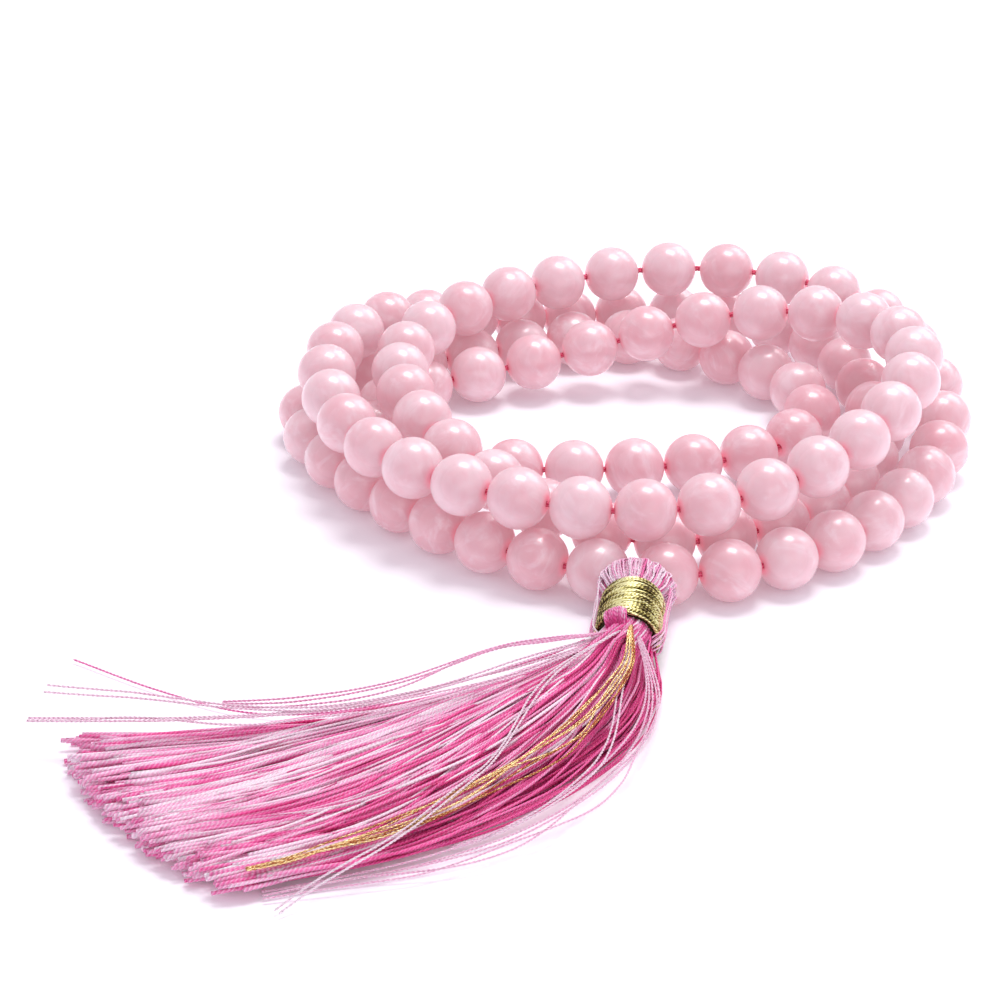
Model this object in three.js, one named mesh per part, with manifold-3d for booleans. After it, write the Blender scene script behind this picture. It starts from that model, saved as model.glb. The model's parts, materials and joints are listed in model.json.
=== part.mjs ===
// Mala prayer beads: a loop of 108 drilled rose-quartz beads on one crimson cord, closed by a
// tassel that is tied straight on the cord. The loop lies wound in four turns, the tassel beside it.
// Millimetres, +Z up. The route is drawn with the tassel's knot at the origin of the strand's own
// frame, and the whole object is then moved so that the middle of its footprint is the origin.

import * as THREE from 'three';
import { mergeVertices } from 'three/addons/utils/BufferGeometryUtils.js';
import Module from 'manifold-3d';

const wasm = await Module();
wasm.setup();

// ---------------------------------------------------------------- driving dimensions

const BEAD_COUNT = 108;
const BEAD_RADIUS = 3.975; // an 8 mm bead that keeps 0.05 mm to the next one
const BEAD_PITCH = 8; // centre to centre on a tight stretch of cord
const TASSEL_PITCH = 8.5; // centre to centre of the two beads beside the tassel
const LOOSE_STRETCHES = [
  { first: 9, last: 19, extra: 0.5 },
  { first: 64, last: 75, extra: 0.3 },
];
const BORE_RADIUS = 0.85;
const NECK_POLAR_DEG = 25; // where two joined beads of a run meet, from the bore axis
const BEAD_SIDES = 8;
const BEAD_BELTS = 6; // facets from one end of a bead to the other
const CORD_RADIUS = 0.4;
const TUBE_SIDES = 8; // of the cord and of the threads that are nodes of their own
const CORD_END_GAP = 0.4; // between the cord's two ends, inside the tassel's head

// Beads that are nodes of their own, by place on the cord; the rest are joined in short runs.
const SINGLE_STRETCHES = [[12, 20], [50, 75], [83, 85], [0, 0], [107, 107]];
const RUNS = [
  [1, 5], [6, 11], [21, 26], [27, 33], [34, 41],
  [42, 49], [76, 82], [86, 92], [93, 99], [100, 106],
];

const BINDING_START = [-0.2, -8.3, 4]; // middle of the binding's end at the head
const BINDING_END = [-1.35, -17.8, 4]; // middle of the binding's mouth, where the skirt spreads
const BINDING_RADIUS = 3.95;
const BINDING_WALL = 0.65;
const BINDING_EDGE_DROP = 0.15; // the binding is this much thinner at its two ends
const BINDING_EDGE_SHARE = 0.12; // of its length, over which it thins
const BINDING_SIDES = 24;
const PART_GAP = 0.3; // between tassel pieces that would touch
const HEAD_RADIUS = 3.95;
const HEAD_OUTLINE = [[0, 6.6], [0.7, 5.6], [1, 3.6], [1, 2]]; // part of the radius, mm beyond binding
const HEAD_SIDES = 16;
const BUNDLE_END_STEPS = 4; // facets of the bundle's round end in the binding's mouth
const HEAD_SPREAD = 1.12; // the bundle of threads is wider than high
const NECK_RADIUS = (BINDING_RADIUS - BINDING_WALL - PART_GAP) / HEAD_SPREAD; // in the binding
const HEAD_LOOP_RADIUS = 3.2; // threads folded over the cord, between the two beads
const HEAD_BORE_RADIUS = 1.25;
const HEAD_CLEAR_RADIUS = 4.35; // hollow left in the head for each bead beside it

const SKIRT_LOCKS = 5;
const SKIRT_STEPS = 10;
const SKIRT_ROOT_HEIGHT = 6.4;
const SKIRT_END_HEIGHT = 3;
const SKIRT_CROWN = 1.2; // how much the skirt falls away from its middle to its two edges
const LOCK_GAP = 0.4;

// Plan outlines of the skirt from the binding's mouth to the cut ends: back edge, middle, front edge.
const SKIRT_BACK = [[-5.5, -18.9], [-10.5, -22], [-20, -26], [-33, -30.5], [-48, -32.5], [-66, -35]];
const SKIRT_MIDDLE = [[-3.2, -21.7], [-7, -27], [-15, -34], [-27, -42], [-42, -48.5], [-59.5, -51.5]];
const SKIRT_FRONT = [[2.2, -20.3], [2.4, -26.5], [-0.3, -37], [-9.5, -50], [-25, -60.5], [-45.5, -67]];

const GOLD_RADIUS = 0.6; // a few gold threads side by side
const GOLD_PLACE = 0.84; // across the skirt, 0 at the back edge and 1 at the front edge
const GOLD_REACH = [0.03, 0.86]; // along the skirt
const GOLD_STEPS = 16;
const LOOSE_THREAD_RADIUS = 0.35;
const LOOSE_THREAD = [
  [-6.3, -18.2, 4.4], [-11, -20.8, 3.6], [-20.5, -24.5, 2.4], [-33, -29, 1.2],
  [-45, -28.8, 0.6], [-56, -23.5, 0.5], [-67, -16, 0.5],
];
const LOOSE_THREAD_STEPS = 24;

// The route of the cord through the beads' middles, one closed smooth curve laid by hand. It starts
// in the tassel and goes round to the right. A bead on the floor has its middle 4 mm up.
const ROUTE = [
  // first turn: right of the tassel on the floor, climbing at the back right on to the back row
  [0, 0.3, 4], [11.7, 0.4, 4], [25, 9, 4], [35.6, 21.3, 4], [42, 35, 4], [43, 43.4, 4.8],
  [43.2, 51.2, 6.8], [41, 59.6, 9.3], [35.4, 67.2, 11.6], [27.9, 73.6, 12], [18.5, 78.5, 12],
  [9.5, 81, 12], [1, 78.5, 11.8], [-7, 76.2, 11.5], [-14.4, 72, 11], [-21.2, 66.6, 11],
  [-26.6, 60.1, 11], [-28.9, 51.8, 11], [-27.9, 43.6, 11.2], [-27.7, 35.5, 11],
  [-25.8, 27.6, 11], [-21, 20.8, 10.5], [-15, 16, 9], [-8, 11.5, 5.6],
  // second turn: on the floor under the front rows, right side and back, climbing at the back left
  [0, 8.8, 4], [8, 9, 4], [16, 12, 4], [23.5, 18, 4], [29, 25.5, 4], [32.8, 33.5, 4],
  [34.5, 42, 4], [34.3, 50, 4], [33.7, 58, 4], [32, 66, 4], [27.5, 74, 4], [20, 80, 4],
  [11, 83, 4], [2, 83.5, 4], [-6, 81.5, 4], [-13.5, 77.5, 4.5], [-20, 73.3, 6.8],
  [-25.8, 68.8, 9], [-31.3, 64.8, 10.3], [-35.5, 59, 11], [-38.6, 52.5, 11.5],
  [-39.5, 45.5, 11.7], [-38.3, 37.2, 11.6], [-36, 28.5, 11.5], [-32.5, 21, 11.3],
  // third turn: along the top at the front and right, then across the loop and down to the floor
  [-27.9, 15.5, 11.1], [-21.6, 10.8, 11], [-14.7, 6.5, 11], [-7.2, 4.2, 11], [0.7, 3.2, 11],
  [8.9, 4.6, 11], [16.3, 7.3, 11.3], [23, 11.5, 13], [28.7, 17.3, 14.3], [33.5, 23.8, 14.8],
  [37, 31.1, 16.2], [38.3, 39.4, 16.5], [37.6, 47.3, 15.8], [33.5, 54, 14.4],
  [27.5, 59.8, 13.2], [20.5, 63, 12.2], [12.6, 64.5, 10.2], [5, 64.4, 8], [-2.8, 63.2, 6.5],
  [-10.8, 62.5, 5.2], [-18.5, 59.5, 4.3], [-26, 56.4, 4], [-31.6, 51, 4], [-32.2, 42.5, 4],
  [-28.2, 35.2, 4],
  // fourth turn: the inner row on the floor, back inner row, left side and back to the tassel
  [-20.8, 31.6, 4], [-12.6, 31, 4], [-4.5, 30.2, 4], [3, 30.7, 4], [10.5, 33.2, 4],
  [18.8, 36.4, 4], [25.3, 40.5, 4.4], [26.3, 48, 5], [22.6, 55, 5], [17.5, 61, 4.2],
  [11.8, 67.8, 4], [5.5, 74, 4], [-3, 74.4, 4], [-11, 70, 4], [-18, 66.5, 4],
  [-25.5, 63.3, 4], [-34, 61, 4], [-41, 55, 4], [-42, 46.5, 4], [-39.5, 38, 4],
  [-36, 30.5, 4], [-31.6, 23.3, 4], [-26, 16.5, 4], [-19.5, 10, 4], [-11.5, 3.8, 4],
];
const SAMPLES_PER_SPAN = 12;

// Settling: each bead is drawn back to its place on the route and into an even bend, ever more
// weakly, while neighbours keep their pitch and all others keep a bead's width.
const SETTLE_ROUNDS = 200;
const SETTLE_HOLD = 0.02;
const SETTLE_SMOOTH = 0.2;
const BEAD_CLEARANCE = 8; // least distance between the middles of beads that are not neighbours
const NEIGHBOUR_REACH = 12; // only pairs that start closer than this can come to touch
const FLOOR_HEIGHT = 4; // a bead's middle when it lies on the floor

// ---------------------------------------------------------------- finishes

const ROSE_PALE = new THREE.Color(0xf0cfd6);
const ROSE_DEEP = new THREE.Color(0xdb9aae);
const CRIMSON = 0xb0173f;
const THREAD_PINK = 0xe6649f;
const THREAD_LIGHT = 0xf2b4d6;
const GOLD = 0xc9b458;

function finish(color, roughness, metalness = 0) {
  return new THREE.MeshStandardMaterial({ color, roughness, metalness });
}

function roseQuartz(bead) {
  const depth = 0.5 + 0.5 * Math.sin(bead * 2.4);
  return finish(ROSE_PALE.clone().lerp(ROSE_DEEP, depth), 0.25);
}

function named(name, geometry, material) {
  const mesh = new THREE.Mesh(geometry, material);
  mesh.name = name;
  return mesh;
}

const vec = (point) => new THREE.Vector3(...point);
const nextBead = (bead) => (bead + 1) % BEAD_COUNT;
const lastBead = (bead) => (bead + BEAD_COUNT - 1) % BEAD_COUNT;

// ---------------------------------------------------------------- where the beads lie

// Distance from each bead's middle to the next one's.
function beadPitches() {
  const pitches = new Array(BEAD_COUNT).fill(BEAD_PITCH);
  for (const { first, last, extra } of LOOSE_STRETCHES) {
    for (let bead = first; bead <= last; bead++) pitches[bead] += extra;
  }
  pitches[BEAD_COUNT - 1] = TASSEL_PITCH;
  return pitches;
}

// Beads spread along the route, which is a little shorter than the string of beads.
function spreadAlongRoute(pitches) {
  const curve = new THREE.CatmullRomCurve3(ROUTE.map(vec), true, 'catmullrom', 0.5);
  const count = ROUTE.length * SAMPLES_PER_SPAN;
  const samples = [];
  for (let k = 0; k <= count; k++) samples.push(curve.getPoint(k / count));
  const reach = [0];
  for (let k = 1; k <= count; k++) reach.push(reach[k - 1] + samples[k].distanceTo(samples[k - 1]));
  const stringLength = pitches.reduce((sum, pitch) => sum + pitch, 0);
  const squeeze = reach[count] / stringLength;
  const middles = [];
  let along = (pitches[BEAD_COUNT - 1] / 2) * squeeze;
  let k = 1;
  for (let bead = 0; bead < BEAD_COUNT; bead++) {
    while (reach[k] < along) k++;
    const part = (along - reach[k - 1]) / (reach[k] - reach[k - 1]);
    middles.push(samples[k - 1].clone().lerp(samples[k], part));
    along += pitches[bead] * squeeze;
  }
  return middles;
}

// Moves two beads along the line between them until they are the given distance apart.
function setApart(one, other, distance) {
  const step = other.clone().sub(one);
  step.multiplyScalar((0.5 * (step.length() - distance)) / step.length());
  one.add(step);
  other.sub(step);
}

function closePairs(middles) {
  const pairs = [];
  for (let one = 0; one < BEAD_COUNT; one++) {
    for (let other = one + 2; other < BEAD_COUNT; other++) {
      const neighbours = one === 0 && other === BEAD_COUNT - 1;
      const near = middles[one].distanceTo(middles[other]) < NEIGHBOUR_REACH;
      if (near && !neighbours) pairs.push([one, other]);
    }
  }
  return pairs;
}

// Draws every bead towards the smooth bend through its four nearest neighbours on the cord.
function smoothBends(middles, strength) {
  const before = middles.map((middle) => middle.clone());
  for (let bead = 0; bead < BEAD_COUNT; bead++) {
    const near = before[lastBead(bead)].clone().add(before[nextBead(bead)]);
    const far = before[lastBead(lastBead(bead))].clone().add(before[nextBead(nextBead(bead))]);
    const bend = near.multiplyScalar(4).sub(far).divideScalar(6);
    middles[bead].lerp(bend, strength);
  }
}

function settleBeads() {
  const pitches = beadPitches();
  const home = spreadAlongRoute(pitches);
  const middles = home.map((middle) => middle.clone());
  const pairs = closePairs(home);
  for (let round = 0; round < SETTLE_ROUNDS; round++) {
    const ease = 1 - round / SETTLE_ROUNDS;
    for (let bead = 0; bead < BEAD_COUNT; bead++) {
      middles[bead].lerp(home[bead], SETTLE_HOLD * ease);
    }
    smoothBends(middles, SETTLE_SMOOTH * ease);
    for (let bead = 0; bead < BEAD_COUNT; bead++) {
      setApart(middles[bead], middles[nextBead(bead)], pitches[bead]);
    }
    for (const [one, other] of pairs) {
      if (middles[one].distanceTo(middles[other]) < BEAD_CLEARANCE) {
        setApart(middles[one], middles[other], BEAD_CLEARANCE);
      }
    }
    for (const middle of middles) middle.z = Math.max(middle.z, FLOOR_HEIGHT);
  }
  return middles;
}

const MIDDLES = settleBeads();

// Each bead's bore points from the bead before it to the bead after it.
const BORES = MIDDLES.map((middle, bead) =>
  MIDDLES[nextBead(bead)].clone().sub(MIDDLES[lastBead(bead)]).normalize());

// A frame on each bead, carried from one bead to the next with as little twist as can be:
// x and z across the bore, y along it.
function carryFrames() {
  const frames = [];
  const across = new THREE.Vector3(0, 0, 1);
  for (const along of BORES) {
    across.addScaledVector(along, -across.dot(along)).normalize();
    const side = along.clone().cross(across);
    frames.push(new THREE.Matrix4().makeBasis(side, along, across.clone()));
  }
  return frames;
}

const FRAMES = carryFrames();

// The middle of the cord between a bead and the next one.
function gapMiddle(bead) {
  const next = nextBead(bead);
  const leaving = MIDDLES[bead].clone().addScaledVector(BORES[bead], BEAD_PITCH / 2);
  const entering = MIDDLES[next].clone().addScaledVector(BORES[next], -BEAD_PITCH / 2);
  return leaving.lerp(entering, 0.5);
}

// The frame half-way between a bead's frame and the next one's.
function gapFrame(bead) {
  const turn = new THREE.Quaternion().setFromRotationMatrix(FRAMES[bead]);
  const nextTurn = new THREE.Quaternion().setFromRotationMatrix(FRAMES[nextBead(bead)]);
  return new THREE.Matrix4().makeRotationFromQuaternion(turn.slerp(nextTurn, 0.5));
}

// ---------------------------------------------------------------- beads

const onBead = (polar) =>
  new THREE.Vector2(BEAD_RADIUS * Math.sin(polar), -BEAD_RADIUS * Math.cos(polar));

// Outline of a bead between two polar angles that lie even about its belt.
function beadArc(startPolar, belts) {
  const points = [];
  for (let k = 0; k <= belts; k++) {
    points.push(onBead(startPolar + ((Math.PI - 2 * startPolar) * k) / belts));
  }
  return points;
}

function singleBeadGeometry() {
  const outline = beadArc(Math.asin(BORE_RADIUS / BEAD_RADIUS), BEAD_BELTS);
  return new THREE.LatheGeometry([...outline, outline[0].clone()], BEAD_SIDES);
}

function singleBead(bead) {
  const mesh = named(beadName(bead), singleBeadGeometry(), roseQuartz(bead));
  mesh.position.copy(MIDDLES[bead]);
  mesh.quaternion.setFromRotationMatrix(FRAMES[bead]);
  return mesh;
}

// A run is turned as a straight string of beads first, one every BEAD_PITCH along y.
function straightRunGeometry(count) {
  const neckPolar = THREE.MathUtils.degToRad(NECK_POLAR_DEG);
  const outline = [];
  for (let k = 0; k < count; k++) {
    for (const point of beadArc(neckPolar, BEAD_BELTS - 2)) {
      outline.push(new THREE.Vector2(point.x, point.y + k * BEAD_PITCH));
    }
  }
  const endOffset = BEAD_RADIUS * Math.cos(neckPolar);
  outline.push(new THREE.Vector2(BORE_RADIUS, (count - 1) * BEAD_PITCH + endOffset));
  for (let k = count - 2; k >= 0; k--) {
    outline.push(new THREE.Vector2(BORE_RADIUS, (k + 0.5) * BEAD_PITCH));
  }
  outline.push(new THREE.Vector2(BORE_RADIUS, -endOffset));
  outline.push(outline[0].clone());
  return new THREE.LatheGeometry(outline, BEAD_SIDES);
}

// Lays a straight run on the strand: each ring of points goes to its own bead or gap.
function runGeometry(first, last) {
  const count = last - first + 1;
  const geometry = straightRunGeometry(count);
  const position = geometry.attributes.position;
  const point = new THREE.Vector3();
  for (let k = 0; k < position.count; k++) {
    point.fromBufferAttribute(position, k);
    const place = point.y / BEAD_PITCH;
    const bead = first + Math.min(Math.max(Math.round(place), 0), count - 1);
    const inGap = Math.abs(place - Math.floor(place) - 0.5) < 1e-4;
    if (inGap) {
      const before = first + Math.floor(place);
      point.y = 0;
      point.applyMatrix4(gapFrame(before)).add(gapMiddle(before));
    } else {
      point.y -= (bead - first) * BEAD_PITCH;
      point.applyMatrix4(FRAMES[bead]).add(MIDDLES[bead]);
    }
    position.setXYZ(k, point.x, point.y, point.z);
  }
  geometry.computeVertexNormals();
  return geometry;
}

const beadNumber = (bead) => String(bead + 1).padStart(3, '0');
const beadName = (bead) => `bead_${beadNumber(bead)}`;

function beadRun([first, last]) {
  const name = `bead_run_${beadNumber(first)}_${beadNumber(last)}`;
  return named(name, runGeometry(first, last), roseQuartz(first));
}

// ---------------------------------------------------------------- stringing cord

// A path of straight stretches that bends only at its own points.
class CornerPath extends THREE.Curve {
  constructor(points) {
    super();
    this.points = points;
  }

  getPoint(t, target = new THREE.Vector3()) {
    const spans = this.points.length - 1;
    const span = Math.min(Math.floor(t * spans + 1e-9), spans - 1);
    return target.copy(this.points[span]).lerp(this.points[span + 1], t * spans - span);
  }

  getPointAt(t, target) {
    return this.getPoint(t, target);
  }

  // The direction at a corner is the mean of the stretches on its two sides.
  getTangentAt(t, target = new THREE.Vector3()) {
    const corner = Math.round(t * (this.points.length - 1));
    const before = this.points[Math.max(corner - 1, 0)];
    const after = this.points[Math.min(corner + 1, this.points.length - 1)];
    return target.copy(after).sub(before).normalize();
  }
}

function roundShape(radius, sides) {
  const corners = [];
  for (let k = 0; k < sides; k++) {
    const angle = (2 * Math.PI * k) / sides;
    corners.push(new THREE.Vector2(radius * Math.cos(angle), radius * Math.sin(angle)));
  }
  return new THREE.Shape(corners);
}

function tubeGeometry(points, radius) {
  return new THREE.ExtrudeGeometry(roundShape(radius, TUBE_SIDES), {
    steps: points.length - 1,
    extrudePath: new CornerPath(points),
  });
}

// Middle of the knot: half-way between the two beads beside the tassel.
const KNOT = MIDDLES[BEAD_COUNT - 1].clone().lerp(MIDDLES[0], 0.5);
const KNOT_DIRECTION = MIDDLES[0].clone().sub(MIDDLES[BEAD_COUNT - 1]).normalize();

function stringingCord() {
  const ends = gapMiddle(BEAD_COUNT - 1);
  const points = [ends.clone().addScaledVector(KNOT_DIRECTION, CORD_END_GAP / 2)];
  for (let bead = 0; bead < BEAD_COUNT - 1; bead++) points.push(gapMiddle(bead));
  points.push(ends.clone().addScaledVector(KNOT_DIRECTION, -CORD_END_GAP / 2));
  return named('stringing_cord', tubeGeometry(points, CORD_RADIUS), finish(CRIMSON, 0.7));
}

// ---------------------------------------------------------------- solids for cuts and joins

function solidOf(geometry) {
  const bare = geometry.clone();
  bare.deleteAttribute('normal');
  bare.deleteAttribute('uv');
  const merged = mergeVertices(bare, 1e-4);
  return new wasm.Manifold(new wasm.Mesh({
    numProp: 3,
    vertProperties: new Float32Array(merged.attributes.position.array),
    triVerts: new Uint32Array(merged.index.array),
  }));
}

function geometryOf(solid) {
  const mesh = solid.getMesh();
  const geometry = new THREE.BufferGeometry();
  geometry.setAttribute('position', new THREE.BufferAttribute(mesh.vertProperties, 3));
  geometry.setIndex(new THREE.BufferAttribute(mesh.triVerts, 1));
  geometry.computeVertexNormals();
  return geometry;
}

// Turns a geometry's y axis along a direction and moves its origin to a point.
function aimed(geometry, direction, origin) {
  const turn = new THREE.Quaternion().setFromUnitVectors(new THREE.Vector3(0, 1, 0), direction);
  return geometry.applyQuaternion(turn).translate(origin.x, origin.y, origin.z);
}

// ---------------------------------------------------------------- tassel head and binding

const MOUTH = vec(BINDING_END);
const BINDING_LENGTH = MOUTH.distanceTo(vec(BINDING_START));
const TASSEL_DIRECTION = MOUTH.clone().sub(vec(BINDING_START)).normalize();

// The bundle of folded threads: a rounded head, a neck through the binding and a round end in the
// binding's mouth about which the skirt swings. Distances along it count from the mouth.
function bundleGeometry() {
  const outline = HEAD_OUTLINE.map(([part, beyond]) =>
    new THREE.Vector2(HEAD_RADIUS * part, -BINDING_LENGTH - beyond));
  outline.push(new THREE.Vector2(NECK_RADIUS, -BINDING_LENGTH - PART_GAP));
  for (let k = 0; k <= BUNDLE_END_STEPS; k++) {
    const angle = (Math.PI / 2) * (k / BUNDLE_END_STEPS);
    const radius = k === BUNDLE_END_STEPS ? 0 : NECK_RADIUS * Math.cos(angle);
    outline.push(new THREE.Vector2(radius, NECK_RADIUS * Math.sin(angle)));
  }
  return new THREE.LatheGeometry(outline, HEAD_SIDES).scale(HEAD_SPREAD, 1, 1);
}

function tasselHead() {
  const bundle = solidOf(aimed(bundleGeometry(), TASSEL_DIRECTION, MOUTH));
  const loop = new THREE.CylinderGeometry(HEAD_LOOP_RADIUS, HEAD_LOOP_RADIUS, BEAD_PITCH / 2, 20);
  const bore = new THREE.CylinderGeometry(HEAD_BORE_RADIUS, HEAD_BORE_RADIUS, 2 * BEAD_PITCH, 12);
  let head = bundle.add(solidOf(aimed(loop, KNOT_DIRECTION, KNOT)));
  for (const bead of [BEAD_COUNT - 1, 0]) {
    const hollow = new THREE.SphereGeometry(HEAD_CLEAR_RADIUS, 20, 12);
    head = head.subtract(solidOf(aimed(hollow, KNOT_DIRECTION, MIDDLES[bead])));
  }
  head = head.subtract(solidOf(aimed(bore, KNOT_DIRECTION, KNOT)));
  return named('tassel_head', geometryOf(head), finish(THREAD_LIGHT, 0.8));
}

// Gold thread wound round the neck, drawn as one sleeve with a slightly rounded back.
function goldBinding() {
  const inner = BINDING_RADIUS - BINDING_WALL;
  const edge = BINDING_EDGE_SHARE * BINDING_LENGTH;
  const outline = [
    new THREE.Vector2(inner, -BINDING_LENGTH),
    new THREE.Vector2(BINDING_RADIUS - BINDING_EDGE_DROP, -BINDING_LENGTH),
    new THREE.Vector2(BINDING_RADIUS, -BINDING_LENGTH + edge),
    new THREE.Vector2(BINDING_RADIUS, -edge),
    new THREE.Vector2(BINDING_RADIUS - BINDING_EDGE_DROP, 0),
    new THREE.Vector2(inner, 0),
  ];
  const sleeve = new THREE.LatheGeometry([...outline, outline[0].clone()], BINDING_SIDES);
  return named('gold_binding', aimed(sleeve, TASSEL_DIRECTION, MOUTH), finish(GOLD, 0.4, 0.8));
}

// ---------------------------------------------------------------- skirt

const flatCurve = (points) =>
  new THREE.CatmullRomCurve3(points.map(([x, y]) => new THREE.Vector3(x, y, 0)), false,
    'catmullrom', 0.5);
const [BACK_EDGE, MIDDLE_LINE, FRONT_EDGE] = [SKIRT_BACK, SKIRT_MIDDLE, SKIRT_FRONT].map(flatCurve);

// A point of the skirt's plan: place runs from 0 at the back edge to 1 at the front edge.
function skirtPoint(place, along) {
  const point = BACK_EDGE.getPoint(along).multiplyScalar(2 * (place - 0.5) * (place - 1));
  point.addScaledVector(MIDDLE_LINE.getPoint(along), 4 * place * (1 - place));
  return point.addScaledVector(FRONT_EDGE.getPoint(along), 2 * place * (place - 0.5));
}

// The skirt is highest along its middle and thins towards its cut ends.
function skirtHeight(place, along) {
  const fall = 1 - (1 - along) * (1 - along);
  const crown = 1 - SKIRT_CROWN * (place - 0.5) * (place - 0.5);
  return THREE.MathUtils.lerp(SKIRT_ROOT_HEIGHT, SKIRT_END_HEIGHT, fall) * crown;
}

// Section of a lock of threads: flat below, rounded above, one unit high and two wide.
const LOCK_SECTION = new THREE.Shape([
  [-1, 0], [1, 0], [1, 0.7], [0.6, 0.95], [0, 1], [-0.6, 0.95], [-1, 0.7],
].map(([x, y]) => new THREE.Vector2(x, y)));

function skirtLock(number) {
  const geometry = new THREE.ExtrudeGeometry(LOCK_SECTION, {
    depth: 1, steps: SKIRT_STEPS, bevelEnabled: false,
  });
  const position = geometry.attributes.position;
  const middle = (number - 0.5) / SKIRT_LOCKS;
  for (let k = 0; k < position.count; k++) {
    const along = position.getZ(k);
    const width = skirtPoint(0, along).distanceTo(skirtPoint(1, along));
    const half = 0.5 / SKIRT_LOCKS - (0.5 * LOCK_GAP) / width;
    const place = middle + position.getX(k) * half;
    const point = skirtPoint(place, along);
    position.setXYZ(k, point.x, point.y, position.getY(k) * skirtHeight(place, along));
  }
  geometry.computeVertexNormals();
  const colour = number % 2 ? THREAD_PINK : THREAD_LIGHT;
  return named(`skirt_lock_${number}`, geometry, finish(colour, 0.8));
}

function goldThreads() {
  const [start, end] = GOLD_REACH;
  const points = [];
  for (let k = 0; k <= GOLD_STEPS; k++) {
    const along = THREE.MathUtils.lerp(start, end, k / GOLD_STEPS);
    const point = skirtPoint(GOLD_PLACE, along);
    point.z = skirtHeight(GOLD_PLACE, along) + GOLD_RADIUS + PART_GAP;
    points.push(point);
  }
  return named('gold_threads', tubeGeometry(points, GOLD_RADIUS), finish(GOLD, 0.4, 0.8));
}

function looseThread() {
  const curve = new THREE.CatmullRomCurve3(LOOSE_THREAD.map(vec), false, 'catmullrom', 0.5);
  const geometry = tubeGeometry(curve.getPoints(LOOSE_THREAD_STEPS), LOOSE_THREAD_RADIUS);
  return named('loose_thread', geometry, finish(THREAD_PINK, 0.8));
}

// ---------------------------------------------------------------- the whole mala

const strand = new THREE.Group();
strand.add(stringingCord());
for (const [first, last] of SINGLE_STRETCHES) {
  for (let bead = first; bead <= last; bead++) strand.add(singleBead(bead));
}
for (const run of RUNS) strand.add(beadRun(run));

const tassel = new THREE.Group();
tassel.add(tasselHead(), goldBinding(), goldThreads(), looseThread());
for (let number = 1; number <= SKIRT_LOCKS; number++) tassel.add(skirtLock(number));

const mala = new THREE.Group();
mala.add(strand, tassel);

// The origin is the middle of the footprint, at the height of the surface that the mala lies on.
const bounds = new THREE.Box3().setFromObject(mala, true);
const footprint = bounds.getCenter(new THREE.Vector3());
mala.position.set(-footprint.x, -footprint.y, -bounds.min.z);

export default mala;
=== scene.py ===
import json
import math

import bpy
import numpy as np
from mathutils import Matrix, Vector


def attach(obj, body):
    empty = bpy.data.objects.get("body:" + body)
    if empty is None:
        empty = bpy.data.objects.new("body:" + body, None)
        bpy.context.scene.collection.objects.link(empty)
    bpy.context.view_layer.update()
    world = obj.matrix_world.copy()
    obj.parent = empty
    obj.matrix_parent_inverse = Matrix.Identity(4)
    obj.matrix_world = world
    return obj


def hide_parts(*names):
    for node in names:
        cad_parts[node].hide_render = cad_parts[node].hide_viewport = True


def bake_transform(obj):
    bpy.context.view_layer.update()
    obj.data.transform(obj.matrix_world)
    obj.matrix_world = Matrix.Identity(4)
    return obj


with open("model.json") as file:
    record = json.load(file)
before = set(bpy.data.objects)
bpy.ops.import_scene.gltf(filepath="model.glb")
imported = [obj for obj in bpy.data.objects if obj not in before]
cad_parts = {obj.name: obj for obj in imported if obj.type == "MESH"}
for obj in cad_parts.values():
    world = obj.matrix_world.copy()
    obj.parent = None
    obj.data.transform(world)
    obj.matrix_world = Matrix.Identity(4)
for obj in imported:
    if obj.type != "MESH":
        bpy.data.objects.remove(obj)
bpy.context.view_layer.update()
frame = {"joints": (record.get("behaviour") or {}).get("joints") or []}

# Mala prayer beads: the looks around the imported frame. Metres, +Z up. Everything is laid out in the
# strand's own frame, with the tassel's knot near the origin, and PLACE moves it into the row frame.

MM = 0.001
rng = np.random.default_rng(108)

# ---------------------------------------------------------------- driving dimensions

BEAD_COUNT = 108
BEAD_RADIUS = 3.975 * MM
BEAD_PITCH = 8 * MM
TASSEL_PITCH = 8.5 * MM
LOOSE_STRETCHES = [(9, 19, 0.5 * MM), (64, 75, 0.3 * MM)]
SINGLE_STRETCHES = [(12, 20), (50, 75), (83, 85), (0, 0), (107, 107)]
RUNS = [(1, 5), (6, 11), (21, 26), (27, 33), (34, 41),
        (42, 49), (76, 82), (86, 92), (93, 99), (100, 106)]

HOLE_RADIUS = 0.55 * MM
HOLE_CHAMFER = 0.16 * MM
CORD_RADIUS = 0.42 * MM
CORD_PLIES = 3
CORD_LAY = 1.7 * MM  # length in which the cord's plies go round once

BINDING_START = np.array([-0.2, -8.3, 4.0]) * MM
BINDING_END = np.array([-1.35, -17.8, 4.0]) * MM

THREAD_RADIUS = 0.165 * MM
THREAD_LAY = 1.1 * MM  # length in which a thread's two plies go round once
SKIRT_ROOT_HEIGHT = 6.6 * MM
SKIRT_END_HEIGHT = 3.2 * MM

FLOOR_HEIGHT = 4 * MM  # a bead's middle when it lies on the floor
SAMPLES_PER_SPAN = 12
SETTLE_ROUNDS = 200
SETTLE_HOLD = 0.02
SETTLE_SMOOTH = 0.2
BEAD_CLEARANCE = 8 * MM
NEIGHBOUR_REACH = 12 * MM

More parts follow.
